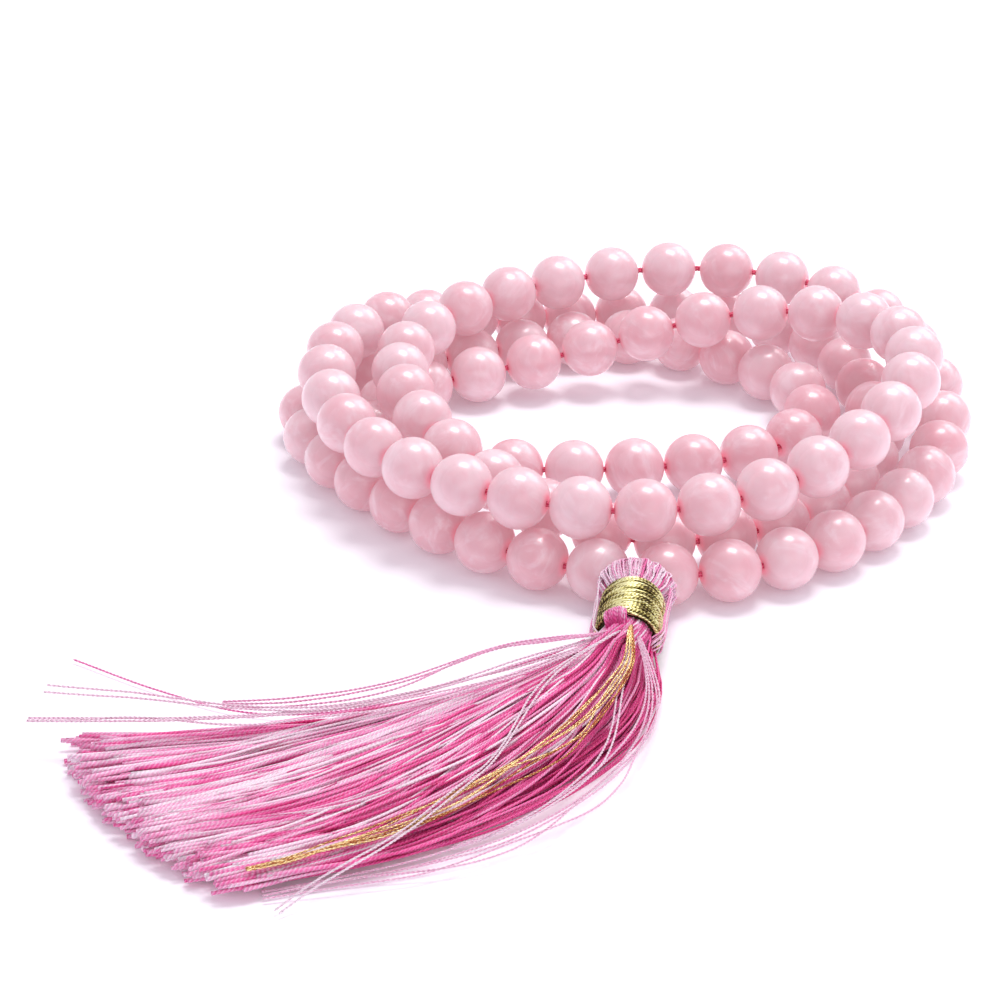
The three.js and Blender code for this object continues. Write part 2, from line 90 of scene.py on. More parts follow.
# The route of the cord, the plan of the skirt from the binding to the cut ends, and the
# lines of the gold, loose and stray threads, all in millimetres.
ROUTE = [
    # first turn: right of the tassel on the floor, climbing at the back right on to the back row
    (0, 0.3, 4), (11.7, 0.4, 4), (25, 9, 4), (35.6, 21.3, 4), (42, 35, 4), (43, 43.4, 4.8),
    (43.2, 51.2, 6.8), (41, 59.6, 9.3), (35.4, 67.2, 11.6), (27.9, 73.6, 12), (18.5, 78.5, 12),
    (9.5, 81, 12), (1, 78.5, 11.8), (-7, 76.2, 11.5), (-14.4, 72, 11), (-21.2, 66.6, 11),
    (-26.6, 60.1, 11), (-28.9, 51.8, 11), (-27.9, 43.6, 11.2), (-27.7, 35.5, 11), (-25.8, 27.6, 11),
    (-21, 20.8, 10.5), (-15, 16, 9), (-8, 11.5, 5.6),
    # second turn: on the floor under the front rows, right side and back, climbing at the back left
    (0, 8.8, 4), (8, 9, 4), (16, 12, 4), (23.5, 18, 4), (29, 25.5, 4), (32.8, 33.5, 4),
    (34.5, 42, 4), (34.3, 50, 4), (33.7, 58, 4), (32, 66, 4), (27.5, 74, 4), (20, 80, 4),
    (11, 83, 4), (2, 83.5, 4), (-6, 81.5, 4), (-13.5, 77.5, 4.5), (-20, 73.3, 6.8),
    (-25.8, 68.8, 9), (-31.3, 64.8, 10.3), (-35.5, 59, 11), (-38.6, 52.5, 11.5),
    (-39.5, 45.5, 11.7), (-38.3, 37.2, 11.6), (-36, 28.5, 11.5), (-32.5, 21, 11.3),
    # third turn: along the top at the front and right, then across the loop and down to the floor
    (-27.9, 15.5, 11.1), (-21.6, 10.8, 11), (-14.7, 6.5, 11), (-7.2, 4.2, 11), (0.7, 3.2, 11),
    (8.9, 4.6, 11), (16.3, 7.3, 11.3), (23, 11.5, 13), (28.7, 17.3, 14.3), (33.5, 23.8, 14.8),
    (37, 31.1, 16.2), (38.3, 39.4, 16.5), (37.6, 47.3, 15.8), (33.5, 54, 14.4), (27.5, 59.8, 13.2),
    (20.5, 63, 12.2), (12.6, 64.5, 10.2), (5, 64.4, 8), (-2.8, 63.2, 6.5), (-10.8, 62.5, 5.2),
    (-18.5, 59.5, 4.3), (-26, 56.4, 4), (-31.6, 51, 4), (-32.2, 42.5, 4), (-28.2, 35.2, 4),
    # fourth turn: the inner row on the floor, back inner row, left side and back to the tassel
    (-20.8, 31.6, 4), (-12.6, 31, 4), (-4.5, 30.2, 4), (3, 30.7, 4), (10.5, 33.2, 4),
    (18.8, 36.4, 4), (25.3, 40.5, 4.4), (26.3, 48, 5), (22.6, 55, 5), (17.5, 61, 4.2),
    (11.8, 67.8, 4), (5.5, 74, 4), (-3, 74.4, 4), (-11, 70, 4), (-18, 66.5, 4), (-25.5, 63.3, 4),
    (-34, 61, 4), (-41, 55, 4), (-42, 46.5, 4), (-39.5, 38, 4), (-36, 30.5, 4), (-31.6, 23.3, 4),
    (-26, 16.5, 4), (-19.5, 10, 4), (-11.5, 3.8, 4),
]
SKIRT_BACK = [(-5.5, -18.9), (-10.5, -22), (-20, -26), (-33, -30.5), (-48, -32.5), (-66, -35)]
SKIRT_MIDDLE = [(-3.2, -21.7), (-7, -27), (-15, -34), (-27, -42), (-42, -48.5), (-59.5, -51.5)]
SKIRT_FRONT = [(2.2, -20.3), (2.4, -26.5), (-0.3, -37), (-9.5, -50), (-25, -60.5), (-45.5, -67)]
LOOSE_THREAD = [
    (-6.3, -18.2, 4.4), (-11, -20.8, 3.6), (-20.5, -24.5, 2.4), (-33, -29, 1.2), (-45, -28.8, 0.6),
    (-56, -23.5, 0.5), (-67, -16, 0.5),
]

GOLD_LINE = [
    (-1.1, -20.9, 6.7), (-1.6, -26.6, 5.2), (-4.2, -32.5, 4.6), (-7.6, -38.3, 4.1),
    (-13.1, -44.9, 3.7), (-18.4, -50.2, 3.4), (-23.8, -54.4, 3.2), (-29, -58.3, 3),
    (-34.1, -61.3, 2.9), (-38.6, -63.7, 2.7), (-42.6, -65.3, 2.7),
]
PALE_PAIR = [
    (-4, -22.5, 6.9), (-6.4, -24.1, 6.2), (-9.1, -26.8, 5.7), (-11.8, -31.3, 5.2),
    (-14.5, -38.3, 4.6), (-17.4, -45.3, 4), (-21.9, -52.8, 4.1), (-26.9, -59.4, 3.6),
    (-30.8, -63.6, 3.4), (-34.9, -66.3, 2.2), (-37.3, -67.6, 1.2), (-39.2, -69.4, 0.6),
]
PALE_RIGHT = [
    (-0.8, -20, 6.6), (-1.6, -25.2, 5.7), (-2.8, -30.9, 4.8), (-3.9, -38.9, 3.9),
    (-5.3, -44.4, 3.5), (-8.2, -49.4, 3.2), (-12, -53.7, 2.8), (-16.3, -55.8, 1.6),
    (-21.4, -57.6, 0.8),
]
PALE_LOW = [
    (0, -20.8, 5.8), (1.1, -29.8, 4.2), (-0.7, -39.3, 3.2), (-5.9, -48.5, 2.4), (-14.2, -56.9, 1.8),
    (-23.6, -61.7, 1.2), (-33, -64.3, 0.9), (-41, -65.9, 0.6),
]
TOP_LINE = [
    (-5.1, -20.8, 6.6), (-10.7, -22.8, 6.9), (-16.3, -24.6, 6.8), (-22, -27.5, 6.3),
    (-27.7, -30.6, 5.8), (-33.3, -32.8, 5.4), (-38.9, -34.1, 5.2), (-43.1, -34.5, 5.1),
    (-47.6, -34.6, 5),
]
LONG_LEFT = [
    (-5.8, -21.2, 6), (-14, -26.1, 6), (-24.2, -32.5, 5.6), (-35.4, -36.1, 5.4),
    (-46.7, -35.5, 5.5), (-55.8, -33.8, 5.6), (-62.6, -33.2, 5.8), (-67.7, -32.6, 6),
]
FAR_LEFT = [
    (-5.8, -21.7, 5.6), (-16.3, -29.2, 5.6), (-27.6, -34.9, 5.4), (-38.7, -37.4, 5.2),
    (-49.9, -37.5, 5), (-60, -37, 4.8), (-65.6, -36.7, 4.5), (-69.3, -36.3, 4.2),
]
# Stray threads: their line, how many, how far apart, how pale, and their radius in millimetres.
STRAYS = [
    (PALE_PAIR, 2, 0.3, 1.05, 0.14), (PALE_RIGHT, 2, 0.3, 0.95, 0.13), (PALE_LOW, 5, 1, 0.8, 0.13),
    (TOP_LINE, 3, 0.6, 0.7, 0.14), (LONG_LEFT, 2, 0.5, 0.9, 0.15), (FAR_LEFT, 3, 0.8, 0.9, 0.16),
]

# ---------------------------------------------------------------- where the beads lie


def length_of(vector):
    return math.sqrt(vector @ vector)


def spline(points, closed):
    """The points of a uniform Catmull-Rom curve, SAMPLES_PER_SPAN to a span."""
    knots = np.array(points, float)
    if closed:
        knots = np.vstack([knots[-1:], knots, knots[:2]])
    else:
        before = 2 * knots[:1] - knots[1:2]
        after = 2 * knots[-1:] - knots[-2:-1]
        knots = np.vstack([before, knots, after])
    p0, p1, p2, p3 = knots[:-3, None], knots[1:-2, None], knots[2:-1, None], knots[3:, None]
    t = (np.arange(SAMPLES_PER_SPAN) / SAMPLES_PER_SPAN)[None, :, None]
    bend = (2 * p1 + (p2 - p0) * t + (2 * p0 - 5 * p1 + 4 * p2 - p3) * t**2
            + (3 * p1 - p0 - 3 * p2 + p3) * t**3) / 2
    return np.vstack([bend.reshape(-1, knots.shape[1]), knots[-2]])


def bead_pitches():
    pitches = [BEAD_PITCH] * BEAD_COUNT
    for first, last, extra in LOOSE_STRETCHES:
        for bead in range(first, last + 1):
            pitches[bead] += extra
    pitches[-1] = TASSEL_PITCH
    return pitches


def spread_along_route(pitches):
    line = spline(np.array(ROUTE) * MM, closed=True)
    reach = np.concatenate([[0], np.cumsum(np.linalg.norm(np.diff(line, axis=0), axis=1))])
    squeeze = reach[-1] / sum(pitches)
    along = [pitches[-1] / 2 * squeeze]
    for bead in range(BEAD_COUNT - 1):
        along.append(along[-1] + pitches[bead] * squeeze)
    return np.array([[np.interp(s, reach, line[:, axis]) for axis in range(3)] for s in along])


def set_apart(middles, one, other, distance):
    step = middles[other] - middles[one]
    step = step * (0.5 * (length_of(step) - distance) / length_of(step))
    middles[one] += step
    middles[other] -= step


def close_pairs(middles):
    pairs = []
    for one in range(BEAD_COUNT):
        for other in range(one + 2, BEAD_COUNT):
            neighbours = one == 0 and other == BEAD_COUNT - 1
            near = length_of(middles[one] - middles[other]) < NEIGHBOUR_REACH
            if near and not neighbours:
                pairs.append((one, other))
    return pairs


def settle_beads():
    """The same settling as the CAD's: even bends, neighbours at their pitch, no bead in another."""
    pitches = bead_pitches()
    home = spread_along_route(pitches)
    middles = home.copy()
    pairs = close_pairs(home)
    for round_number in range(SETTLE_ROUNDS):
        ease = 1 - round_number / SETTLE_ROUNDS
        middles += (home - middles) * SETTLE_HOLD * ease
        near = np.roll(middles, 1, axis=0) + np.roll(middles, -1, axis=0)
        far = np.roll(middles, 2, axis=0) + np.roll(middles, -2, axis=0)
        middles += ((4 * near - far) / 6 - middles) * SETTLE_SMOOTH * ease
        for bead in range(BEAD_COUNT):
            set_apart(middles, bead, (bead + 1) % BEAD_COUNT, pitches[bead])
        for one, other in pairs:
            if length_of(middles[other] - middles[one]) < BEAD_CLEARANCE:
                set_apart(middles, one, other, BEAD_CLEARANCE)
        middles[:, 2] = np.maximum(middles[:, 2], FLOOR_HEIGHT)
    return middles


def unit(vectors):
    return vectors / np.linalg.norm(vectors, axis=-1, keepdims=True)


MIDDLES = settle_beads()
BORES = unit(np.roll(MIDDLES, -1, axis=0) - np.roll(MIDDLES, 1, axis=0))
SPINS = {joint["child"]: joint for joint in frame["joints"]}
PLACE = np.array(SPINS["bead_001"]["pos_m"]) - MIDDLES[0]


def bead_name(bead):
    return f"bead_{bead + 1:03d}"


for first, last in SINGLE_STRETCHES:
    for bead in range(first, last + 1):
        off = np.array(SPINS[bead_name(bead)]["pos_m"]) - PLACE - MIDDLES[bead]
        if length_of(off) > 0.01 * MM:
            raise RuntimeError(f"{bead_name(bead)} isn't where the frame has it")

# ---------------------------------------------------------------- mesh making


def new_object(name, data):
    made = bpy.data.objects.new(name, data)
    bpy.context.scene.collection.objects.link(made)
    return made


def make_piece(name, vertices, faces, material, floats, vectors):
    """A smooth mesh piece from arrays in the strand's own frame, with point attributes."""
    mesh = bpy.data.meshes.new(name)
    mesh.from_pydata((np.asarray(vertices) + PLACE).tolist(), [], faces)
    mesh.polygons.foreach_set("use_smooth", [True] * len(mesh.polygons))
    for kind, field, table in (("FLOAT", "value", floats), ("FLOAT_VECTOR", "vector", vectors)):
        for key, values in table.items():
            attribute = mesh.attributes.new(key, kind, "POINT")
            attribute.data.foreach_set(field, np.asarray(values, np.float32).ravel())
    mesh.materials.append(material)
    mesh.update()
    return new_object(name, mesh)


def place_piece(piece, body, slot, *nodes):
    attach(piece, body)
    if nodes:
        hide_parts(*nodes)
    return piece


def ring_faces(rings, sides, close_rings=False):
    """Quads between rings of points, each ring closed; the last ring may join the first."""
    faces = []
    for ring in range(rings if close_rings else rings - 1):
        here, there = ring * sides, (ring + 1) % rings * sides
        for side in range(sides):
            other = (side + 1) % sides
            faces.append((here + side, here + other, there + other, there + side))
    return faces


def capped_tube_faces(rings, sides):
    faces = ring_faces(rings, sides)
    faces.append(tuple(range(sides))[::-1])
    faces.append(tuple((rings - 1) * sides + side for side in range(sides)))
    return faces


def carry_frames(paths):
    """Two directions across each path, carried along it with as little twist as can be."""
    tangents = unit(np.gradient(paths, axis=1))
    side = np.cross(tangents[:, 0], (0.03, 0.05, 1.0))
    sides = []
    for step in range(paths.shape[1]):
        tangent = tangents[:, step]
        side = unit(side - np.sum(side * tangent, axis=1, keepdims=True) * tangent)
        sides.append(side)
    sides = np.stack(sides, axis=1)
    return sides, np.cross(tangents, sides)


def run_lengths(paths):
    steps = np.linalg.norm(np.diff(paths, axis=1), axis=2)
    return np.concatenate([np.zeros((len(paths), 1)), np.cumsum(steps, axis=1)], axis=1)


def resample(paths, count):
    """The same paths with their points evenly spaced."""
    runs = run_lengths(paths)
    out = np.empty((len(paths), count, 3))
    for number, (path, run) in enumerate(zip(paths, runs)):
        even = np.linspace(0, run[-1], count)
        for axis in range(3):
            out[number, :, axis] = np.interp(even, run, path[:, axis])
    return out


RUN_OFFSETS = 900  # each thread's run starts somewhere else, so no two look the same
THREAD_SIDES = 6
PLY_SIDES = 5
PLY_RADIUS = 0.56  # of the radius of the two-ply thread
PLY_SWING = 0.5  # of the same radius, from its middle to a ply's
RINGS_PER_LAY = 6


class Threads:
    """Gathers many round threads into the arrays of one mesh.

    A thread's radius and tint are one number, or one for each of its rings."""

    def __init__(self):
        self.vertices, self.faces, self.places, self.tints = [], [], [], []
        self.count = 0

    def add(self, paths, radius, tints, sides=THREAD_SIDES):
        paths = np.asarray(paths, float)
        number, rings = paths.shape[:2]
        side, up = carry_frames(paths)
        angles = 2 * np.pi * np.arange(sides) / sides
        cos, sin = np.cos(angles), np.sin(angles)
        radius = np.broadcast_to(np.asarray(radius, float), (number, rings))[:, :, None, None]
        around = cos[:, None] * side[:, :, None] + sin[:, None] * up[:, :, None]
        vertices = paths[:, :, None] + radius * around
        offsets = rng.uniform(0, RUN_OFFSETS, (number, 1, 1))
        runs = run_lengths(paths)[:, :, None] / MM + offsets
        shape = (number, rings, sides)
        places = np.stack([np.broadcast_to(cos, shape), np.broadcast_to(sin, shape),
                           np.broadcast_to(runs, shape)], axis=-1)
        tints = np.asarray(tints, float).reshape(number, -1, 1)
        tints = np.broadcast_to(tints, shape)
        self.vertices.append(vertices.reshape(-1, 3))
        self.places.append(places.reshape(-1, 3))
        self.tints.append(tints.reshape(-1))
        one = capped_tube_faces(rings, sides)
        for _ in range(number):
            self.faces += [tuple(self.count + corner for corner in face) for face in one]
            self.count += rings * sides

    def add_pairs(self, paths, radius, tints, lay):
        """Threads with two real plies laid round each other."""
        rings = RINGS_PER_LAY * int(run_lengths(paths)[:, -1].max() / lay)
        paths = resample(np.asarray(paths, float), rings)
        side, up = carry_frames(paths)
        turn = (2 * np.pi / lay) * run_lengths(paths)[:, :, None]
        swing = PLY_SWING * radius * (np.cos(turn) * side + np.sin(turn) * up)
        for ply in (swing, -swing):
            self.add(paths + ply, PLY_RADIUS * radius, tints, PLY_SIDES)

    def piece(self, name, material):
        return make_piece(name, np.vstack(self.vertices), self.faces, material,
                          floats={"thread_tint_and_light": np.concatenate(self.tints)},
                          vectors={"thread_place": np.vstack(self.places)})


# ---------------------------------------------------------------- material helpers


class Nodes:
    """Short calls for building one node material."""

    def __init__(self, name):
        self.material = bpy.data.materials.new(name)
        self.material.use_nodes = True
        self.tree = self.material.node_tree
        self.shader = self.tree.nodes["Principled BSDF"]

    def add(self, kind, **values):
        node = self.tree.nodes.new(kind)
        for key, value in values.items():
            setattr(node, key, value)
        return node

    def feed(self, socket, value):
        if isinstance(value, bpy.types.NodeSocket):
            self.tree.links.new(value, socket)
        else:
            socket.default_value = value

    def attribute(self, name, output="Fac"):
        node = self.add("ShaderNodeAttribute", attribute_name=name)
        return node.outputs[output]

    def math(self, operation, one, other=0.0):
        node = self.add("ShaderNodeMath", operation=operation)
        self.feed(node.inputs[0], one)
        self.feed(node.inputs[1], other)
        return node.outputs[0]

    def noise(self, vector, scale, detail=3.0, roughness=0.5, distortion=0.0):
        node = self.add("ShaderNodeTexNoise")
        self.feed(node.inputs["Vector"], vector)
        settings = {"Scale": scale, "Detail": detail, "Roughness": roughness,
                    "Distortion": distortion}
        for key, value in settings.items():
            node.inputs[key].default_value = value
        return node.outputs["Fac"]

    def stretch(self, value, low, high):
        """Maps low..high to 0..1, smoothly, and holds it there beyond."""
        node = self.add("ShaderNodeMapRange", interpolation_type="SMOOTHSTEP")
        self.feed(node.inputs["Value"], value)
        node.inputs["From Min"].default_value = low
        node.inputs["From Max"].default_value = high
        return node.outputs["Result"]

    def mix(self, share, one, other):
        node = self.add("ShaderNodeMix", data_type="RGBA")
        self.feed(node.inputs["Factor"], share)
        self.feed(node.inputs[6], one)
        self.feed(node.inputs[7], other)
        return node.outputs[2]

    def ramp(self, value, *stops):
        """The colour at a value between (place, colour) stops."""
        node = self.add("ShaderNodeValToRGB")
        elements = node.color_ramp.elements
        while len(elements) < len(stops):
            elements.new(0.5)
        for element, (place, colour) in zip(elements, stops):
            element.position = place
            element.color = colour
        self.feed(node.inputs[0], value)
        return node.outputs[0]

    def scaled(self, vector, factors):
        node = self.add("ShaderNodeVectorMath", operation="MULTIPLY")
        self.feed(node.inputs[0], vector)
        node.inputs[1].default_value = factors
        return node.outputs[0]

    def bump(self, height, strength, distance):
        node = self.add("ShaderNodeBump")
        node.inputs["Strength"].default_value = strength
        node.inputs["Distance"].default_value = distance
        self.feed(node.inputs["Height"], height)
        return node.outputs["Normal"]

    def set(self, **values):
        for key, value in values.items():
            self.feed(self.shader.inputs[key.replace("_", " ")], value)
        return self.material


def ply_height(nodes, plies, lay):
    """1 on the crown of each ply and -1 in the groove between two, as they run round a thread."""
    parts = nodes.add("ShaderNodeSeparateXYZ")
    nodes.feed(parts.inputs[0], nodes.attribute("thread_place", "Vector"))
    angle = nodes.math("ARCTAN2", parts.outputs[1], parts.outputs[0])
    turns = nodes.math("MULTIPLY", parts.outputs[2], 2 * math.pi / (lay / MM))
    phase = nodes.math("MULTIPLY", nodes.math("ADD", angle, turns), plies)
    return nodes.math("COSINE", phase)


# ---------------------------------------------------------------- materials


CLOUD_SPREAD = 1.3  # how far the clouds shift a stone's depth of pink
VEIL_RANGE = (0.48, 0.7)  # of the veils' noise, from clear to milky
VEIL_SHARE = 0.7
SEEN_CORD_REACH = (0.5, 1.9)  # millimetres from the bore over which the painted red of the cord, seen through the stone, fades
SEEN_CORD_SHARE = 0.8


def rose_quartz():
    """Cloudy stone, with the red of the cord seen through it painted round the bore; its glow is
    painted light that stands for see-through.
    """
    nodes = Nodes("rose_quartz")
    place = nodes.attribute("stone_place", "Vector")
    tint = nodes.attribute("stone_tint_and_light")
    cloud = nodes.noise(place, scale=0.30, detail=4, roughness=0.55, distortion=0.6)
    veil = nodes.noise(place, scale=0.17, detail=6, roughness=0.62, distortion=1.6)
    shift = nodes.math("MULTIPLY", nodes.math("SUBTRACT", cloud, 0.5), CLOUD_SPREAD)
    depth = nodes.math("ADD", shift, tint)
    stone = nodes.ramp(depth, (0.0, PALE_STONE), (0.5, PINK_STONE), (1.0, DEEP_STONE))
    veils = nodes.math("MULTIPLY", nodes.stretch(veil, *VEIL_RANGE), VEIL_SHARE)
    milky = nodes.mix(veils, stone, MILKY_STONE)
    # Painted see-through: the cord's red, seen through the stone, is painted into the colour round
    # the bore.
    by_bore = nodes.math("SUBTRACT", 1.0, nodes.stretch(nodes.attribute("bore_reach"), *SEEN_CORD_REACH))
    cord_seen_through = nodes.mix(nodes.math("MULTIPLY", by_bore, SEEN_CORD_SHARE), milky, SEEN_CORD_STONE)
    # The emission is a painted glow: it lightens the stone's shaded side and the gaps between beads,
    # standing for light passing through.
    return nodes.set(Base_Color=cord_seen_through, Roughness=0.38, IOR=1.54, Transmission_Weight=0.05,
                     Coat_Weight=0.6, Coat_Roughness=0.16, Coat_IOR=1.55,
                     Subsurface_Weight=1.0, Subsurface_Radius=(1.0, 0.55, 0.65),
                     Subsurface_Scale=8 * MM, Emission_Color=PAINTED_GLOW, Emission_Strength=0.25)


def crimson_cord():
    nodes = Nodes("crimson_cord")
    height = ply_height(nodes, CORD_PLIES, CORD_LAY)
    fibres = nodes.noise(nodes.attribute("thread_place", "Vector"), scale=5.0, detail=4)
    # The ply grooves are darkened as painted shade; the fibre noise is the cord's own mottle.
    shade = nodes.math("ADD", nodes.math("MULTIPLY", height, 0.3), fibres)
    colour = nodes.mix(nodes.stretch(shade, 0.1, 0.9), CORD_DARK_FIBRE_AND_SHADE, CORD_CROWN)
    return nodes.set(Base_Color=colour, Roughness=0.7, Sheen_Weight=0.3,
                     Normal=nodes.bump(height, 0.6, 0.08 * MM))


THREAD_MOTTLE = 0.35  # how far patches and fibres shift a thread's tint


def dyed_thread():
    nodes = Nodes("dyed_thread")
    height = ply_height(nodes, plies=2, lay=THREAD_LAY)
    place = nodes.scaled(nodes.attribute("thread_place", "Vector"), (1, 1, 0.5))
    patches = nodes.noise(place, scale=0.35, detail=2)
    fibres = nodes.noise(place, scale=3.0, detail=3)
    # Painted shade darkens the ply grooves; the tint attribute carries each thread's own tone
    # together with painted light and shade, and the patches and fibres are the thread's own mottle.
    shade = nodes.math("ADD", nodes.math("MULTIPLY", height, 0.11), nodes.attribute("thread_tint_and_light"))
    for noise in (patches, fibres):
        shift = nodes.math("MULTIPLY", nodes.math("SUBTRACT", noise, 0.5), THREAD_MOTTLE)
        shade = nodes.math("ADD", shade, shift)
    colour = nodes.ramp(shade, (0.0, MAGENTA_THREAD), (0.35, ROSE_THREAD), (0.65, PINK_THREAD),
                        (1.0, LILAC_THREAD))
    return nodes.set(Base_Color=colour, Roughness=0.4, Sheen_Weight=0.1, Sheen_Roughness=0.4,
                     Subsurface_Weight=0.3, Subsurface_Radius=(1.0, 0.7, 0.9),
                     Subsurface_Scale=0.5 * MM, Normal=nodes.bump(height, 0.6, 0.08 * MM))


GOLD_LAY = 0.9 * MM  # of the fine ribs in the gold's looks
PAINTED_GLINT_RANGE = (0.38, 0.64)  # of the painted glints, from the darkest to the brightest gold


def gold_thread(name, dark, brown, bright, white):
    nodes = Nodes(name)
    height = ply_height(nodes, plies=2, lay=GOLD_LAY)
    place = nodes.scaled(nodes.attribute("thread_place", "Vector"), (0.35, 0.35, 0.6))
    # Painted glints and reflections: the noise puts broken highlights and dark reflections into the
    # gold's colour, and the ply grooves are darkened as painted shade.
    painted_glint = nodes.noise(place, scale=1.1, detail=5, roughness=0.8)
    shade = nodes.math("ADD", nodes.math("MULTIPLY", height, 0.07), painted_glint)
    shade = nodes.math("ADD", shade, nodes.attribute("thread_tint_and_light"))
    colour = nodes.ramp(nodes.stretch(shade, *PAINTED_GLINT_RANGE), (0.0, dark), (0.35, brown),
                        (0.65, bright), (1.0, white))
    return nodes.set(Base_Color=colour, Metallic=0.75, Roughness=0.33,
                     Normal=nodes.bump(shade, 0.8, 0.06 * MM))


PALE_STONE = (0.53, 0.425, 0.455, 1)
PINK_STONE = (0.505, 0.335, 0.37, 1)
DEEP_STONE = (0.49, 0.265, 0.305, 1)
MILKY_STONE = (0.575, 0.505, 0.535, 1)
# The red of the cord seen through the stone, painted round the bore.
SEEN_CORD_STONE = (0.85, 0.20, 0.30, 1)
# Colour of the painted glow, the stone's emission that stands for light passing through it.
PAINTED_GLOW = (0.80, 0.40, 0.46, 1)
MAGENTA_THREAD = (0.60, 0.015, 0.17, 1)
ROSE_THREAD = (0.90, 0.10, 0.36, 1)
PINK_THREAD = (0.94, 0.37, 0.61, 1)
LILAC_THREAD = (1.0, 0.78, 0.90, 1)
# The cord's dark red, for its darker fibres and the painted shade in the ply grooves, then its light
# red on the crowns.
CORD_DARK_FIBRE_AND_SHADE = (0.60, 0.03, 0.10, 1)
CORD_CROWN = (0.90, 0.16, 0.28, 1)
# Golds from a painted dark reflection through brown and gold to a painted highlight.
WINDING_GOLDS = [(0.03, 0.018, 0.003, 1), (0.27, 0.19, 0.04, 1), (0.82, 0.74, 0.26, 1),
                 (1.0, 0.97, 0.58, 1)]
THREAD_GOLDS = [(0.28, 0.04, 0.02, 1), (0.50, 0.20, 0.05, 1), (0.80, 0.50, 0.17, 1),
                (0.98, 0.86, 0.50, 1)]

ROSE_QUARTZ = rose_quartz()
CRIMSON_CORD = crimson_cord()
DYED_THREAD = dyed_thread()
GOLD_WINDING = gold_thread("gold_winding", *WINDING_GOLDS)
GOLD_THREAD = gold_thread("gold_thread", *THREAD_GOLDS)

# ---------------------------------------------------------------- beads


BEAD_RINGS = 19  # between the two mouths of the bore
BEAD_SIDES = 36


def bead_outline():
    """A drilled bead's outline as (distance from the bore, place along it), closed on itself."""
    edge = math.asin((HOLE_RADIUS + HOLE_CHAMFER) / BEAD_RADIUS)
    polar = np.linspace(edge, math.pi - edge, BEAD_RINGS)
    points = [(BEAD_RADIUS * math.sin(a), -BEAD_RADIUS * math.cos(a)) for a in polar]
    mouth = BEAD_RADIUS * math.cos(edge)
    rounding = HOLE_CHAMFER * 0.3
    points += [(HOLE_RADIUS + rounding, mouth - rounding), (HOLE_RADIUS, mouth - HOLE_CHAMFER),
               (HOLE_RADIUS, 0), (HOLE_RADIUS, HOLE_CHAMFER - mouth),
               (HOLE_RADIUS + rounding, rounding - mouth)]
    return np.array(points)


OUTLINE = bead_outline()
BEAD_FACES = ring_faces(len(OUTLINE), BEAD_SIDES, close_rings=True)


def random_turn():
    """A random rotation matrix."""
    q, r = np.linalg.qr(rng.normal(size=(3, 3)))
    return q * np.sign(np.diag(r))


def bead_arrays(bead):
    """Vertices, stone coordinates and distances from the bore of one bead."""
    along = BORES[bead]
    side = unit(np.cross(along, (0, 0, 1.0)))
    up = np.cross(side, along)
    angles = 2 * np.pi * np.arange(BEAD_SIDES) / BEAD_SIDES
    radial = np.cos(angles)[:, None] * side + np.sin(angles)[:, None] * up
    size = rng.uniform(0.985, 1.0)
    reach, place = OUTLINE[:, 0], OUTLINE[:, 1]
    grow = np.where(reach > HOLE_RADIUS * 1.5, size, 1.0)
    own = (reach * grow)[:, None, None] * radial + (place * size)[:, None, None] * along
    own = own.reshape(-1, 3)
    stone = own @ random_turn() / MM + rng.uniform(-400, 400, 3)
    bore = np.repeat(reach, BEAD_SIDES) / MM
    return own + MIDDLES[bead], stone, bore


def bead_tints_and_light():
    """How deep the pink of each bead is: drawn for each bead as its own tone, with painted light
    paling the upper turns and painted shade deepening the beads on the floor.
    """
    tints = rng.uniform(0.05, 0.75, BEAD_COUNT)
    # Painted light and shade: the higher a bead lies the paler it is, and a bead on the floor is
    # deeper pink.
    painted_light_lift = np.clip((MIDDLES[:, 2] - FLOOR_HEIGHT) / (8 * MM), 0, 1)
    return tints * (1 - 0.35 * painted_light_lift) + 0.12 * (1 - painted_light_lift)


BEAD_TINTS_AND_LIGHT = bead_tints_and_light()


def bead_piece(first, last, name, node, body):
    vertices, faces, stones, bores, tints = [], [], [], [], []
    for bead in range(first, last + 1):
        start = sum(len(v) for v in vertices)
        own, stone, bore = bead_arrays(bead)
        vertices.append(own)
        stones.append(stone)
        bores.append(bore)
        tints.append(np.full(len(own), BEAD_TINTS_AND_LIGHT[bead]))
        faces += [tuple(start + corner for corner in face) for face in BEAD_FACES]
    floats = {"stone_tint_and_light": np.concatenate(tints), "bore_reach": np.concatenate(bores)}
    piece = make_piece(name, np.vstack(vertices), faces, ROSE_QUARTZ, floats=floats,
                       vectors={"stone_place": np.vstack(stones)})
    place_piece(piece, body, "rose_quartz", node)


def make_beads():
    for first, last in SINGLE_STRETCHES:
        for bead in range(first, last + 1):
            bead_piece(bead, bead, "rose_" + bead_name(bead), bead_name(bead), bead_name(bead))
    for first, last in RUNS:
        numbers = f"{first + 1:03d}_{last + 1:03d}"
        bead_piece(first, last, "rose_beads_" + numbers, "bead_run_" + numbers, "strand")


# ---------------------------------------------------------------- stringing cord


def gap_middles():
    """The middle of the cord between each bead and the next one."""
    leaving = MIDDLES + BORES * BEAD_PITCH / 2
    entering = np.roll(MIDDLES - BORES * BEAD_PITCH / 2, -1, axis=0)
    return (leaving + entering) / 2


CORD_RINGS = 22 * BEAD_COUNT
CORD_PLY_RADIUS = 0.55 * CORD_RADIUS
CORD_PLY_SWING = 0.5 * CORD_RADIUS


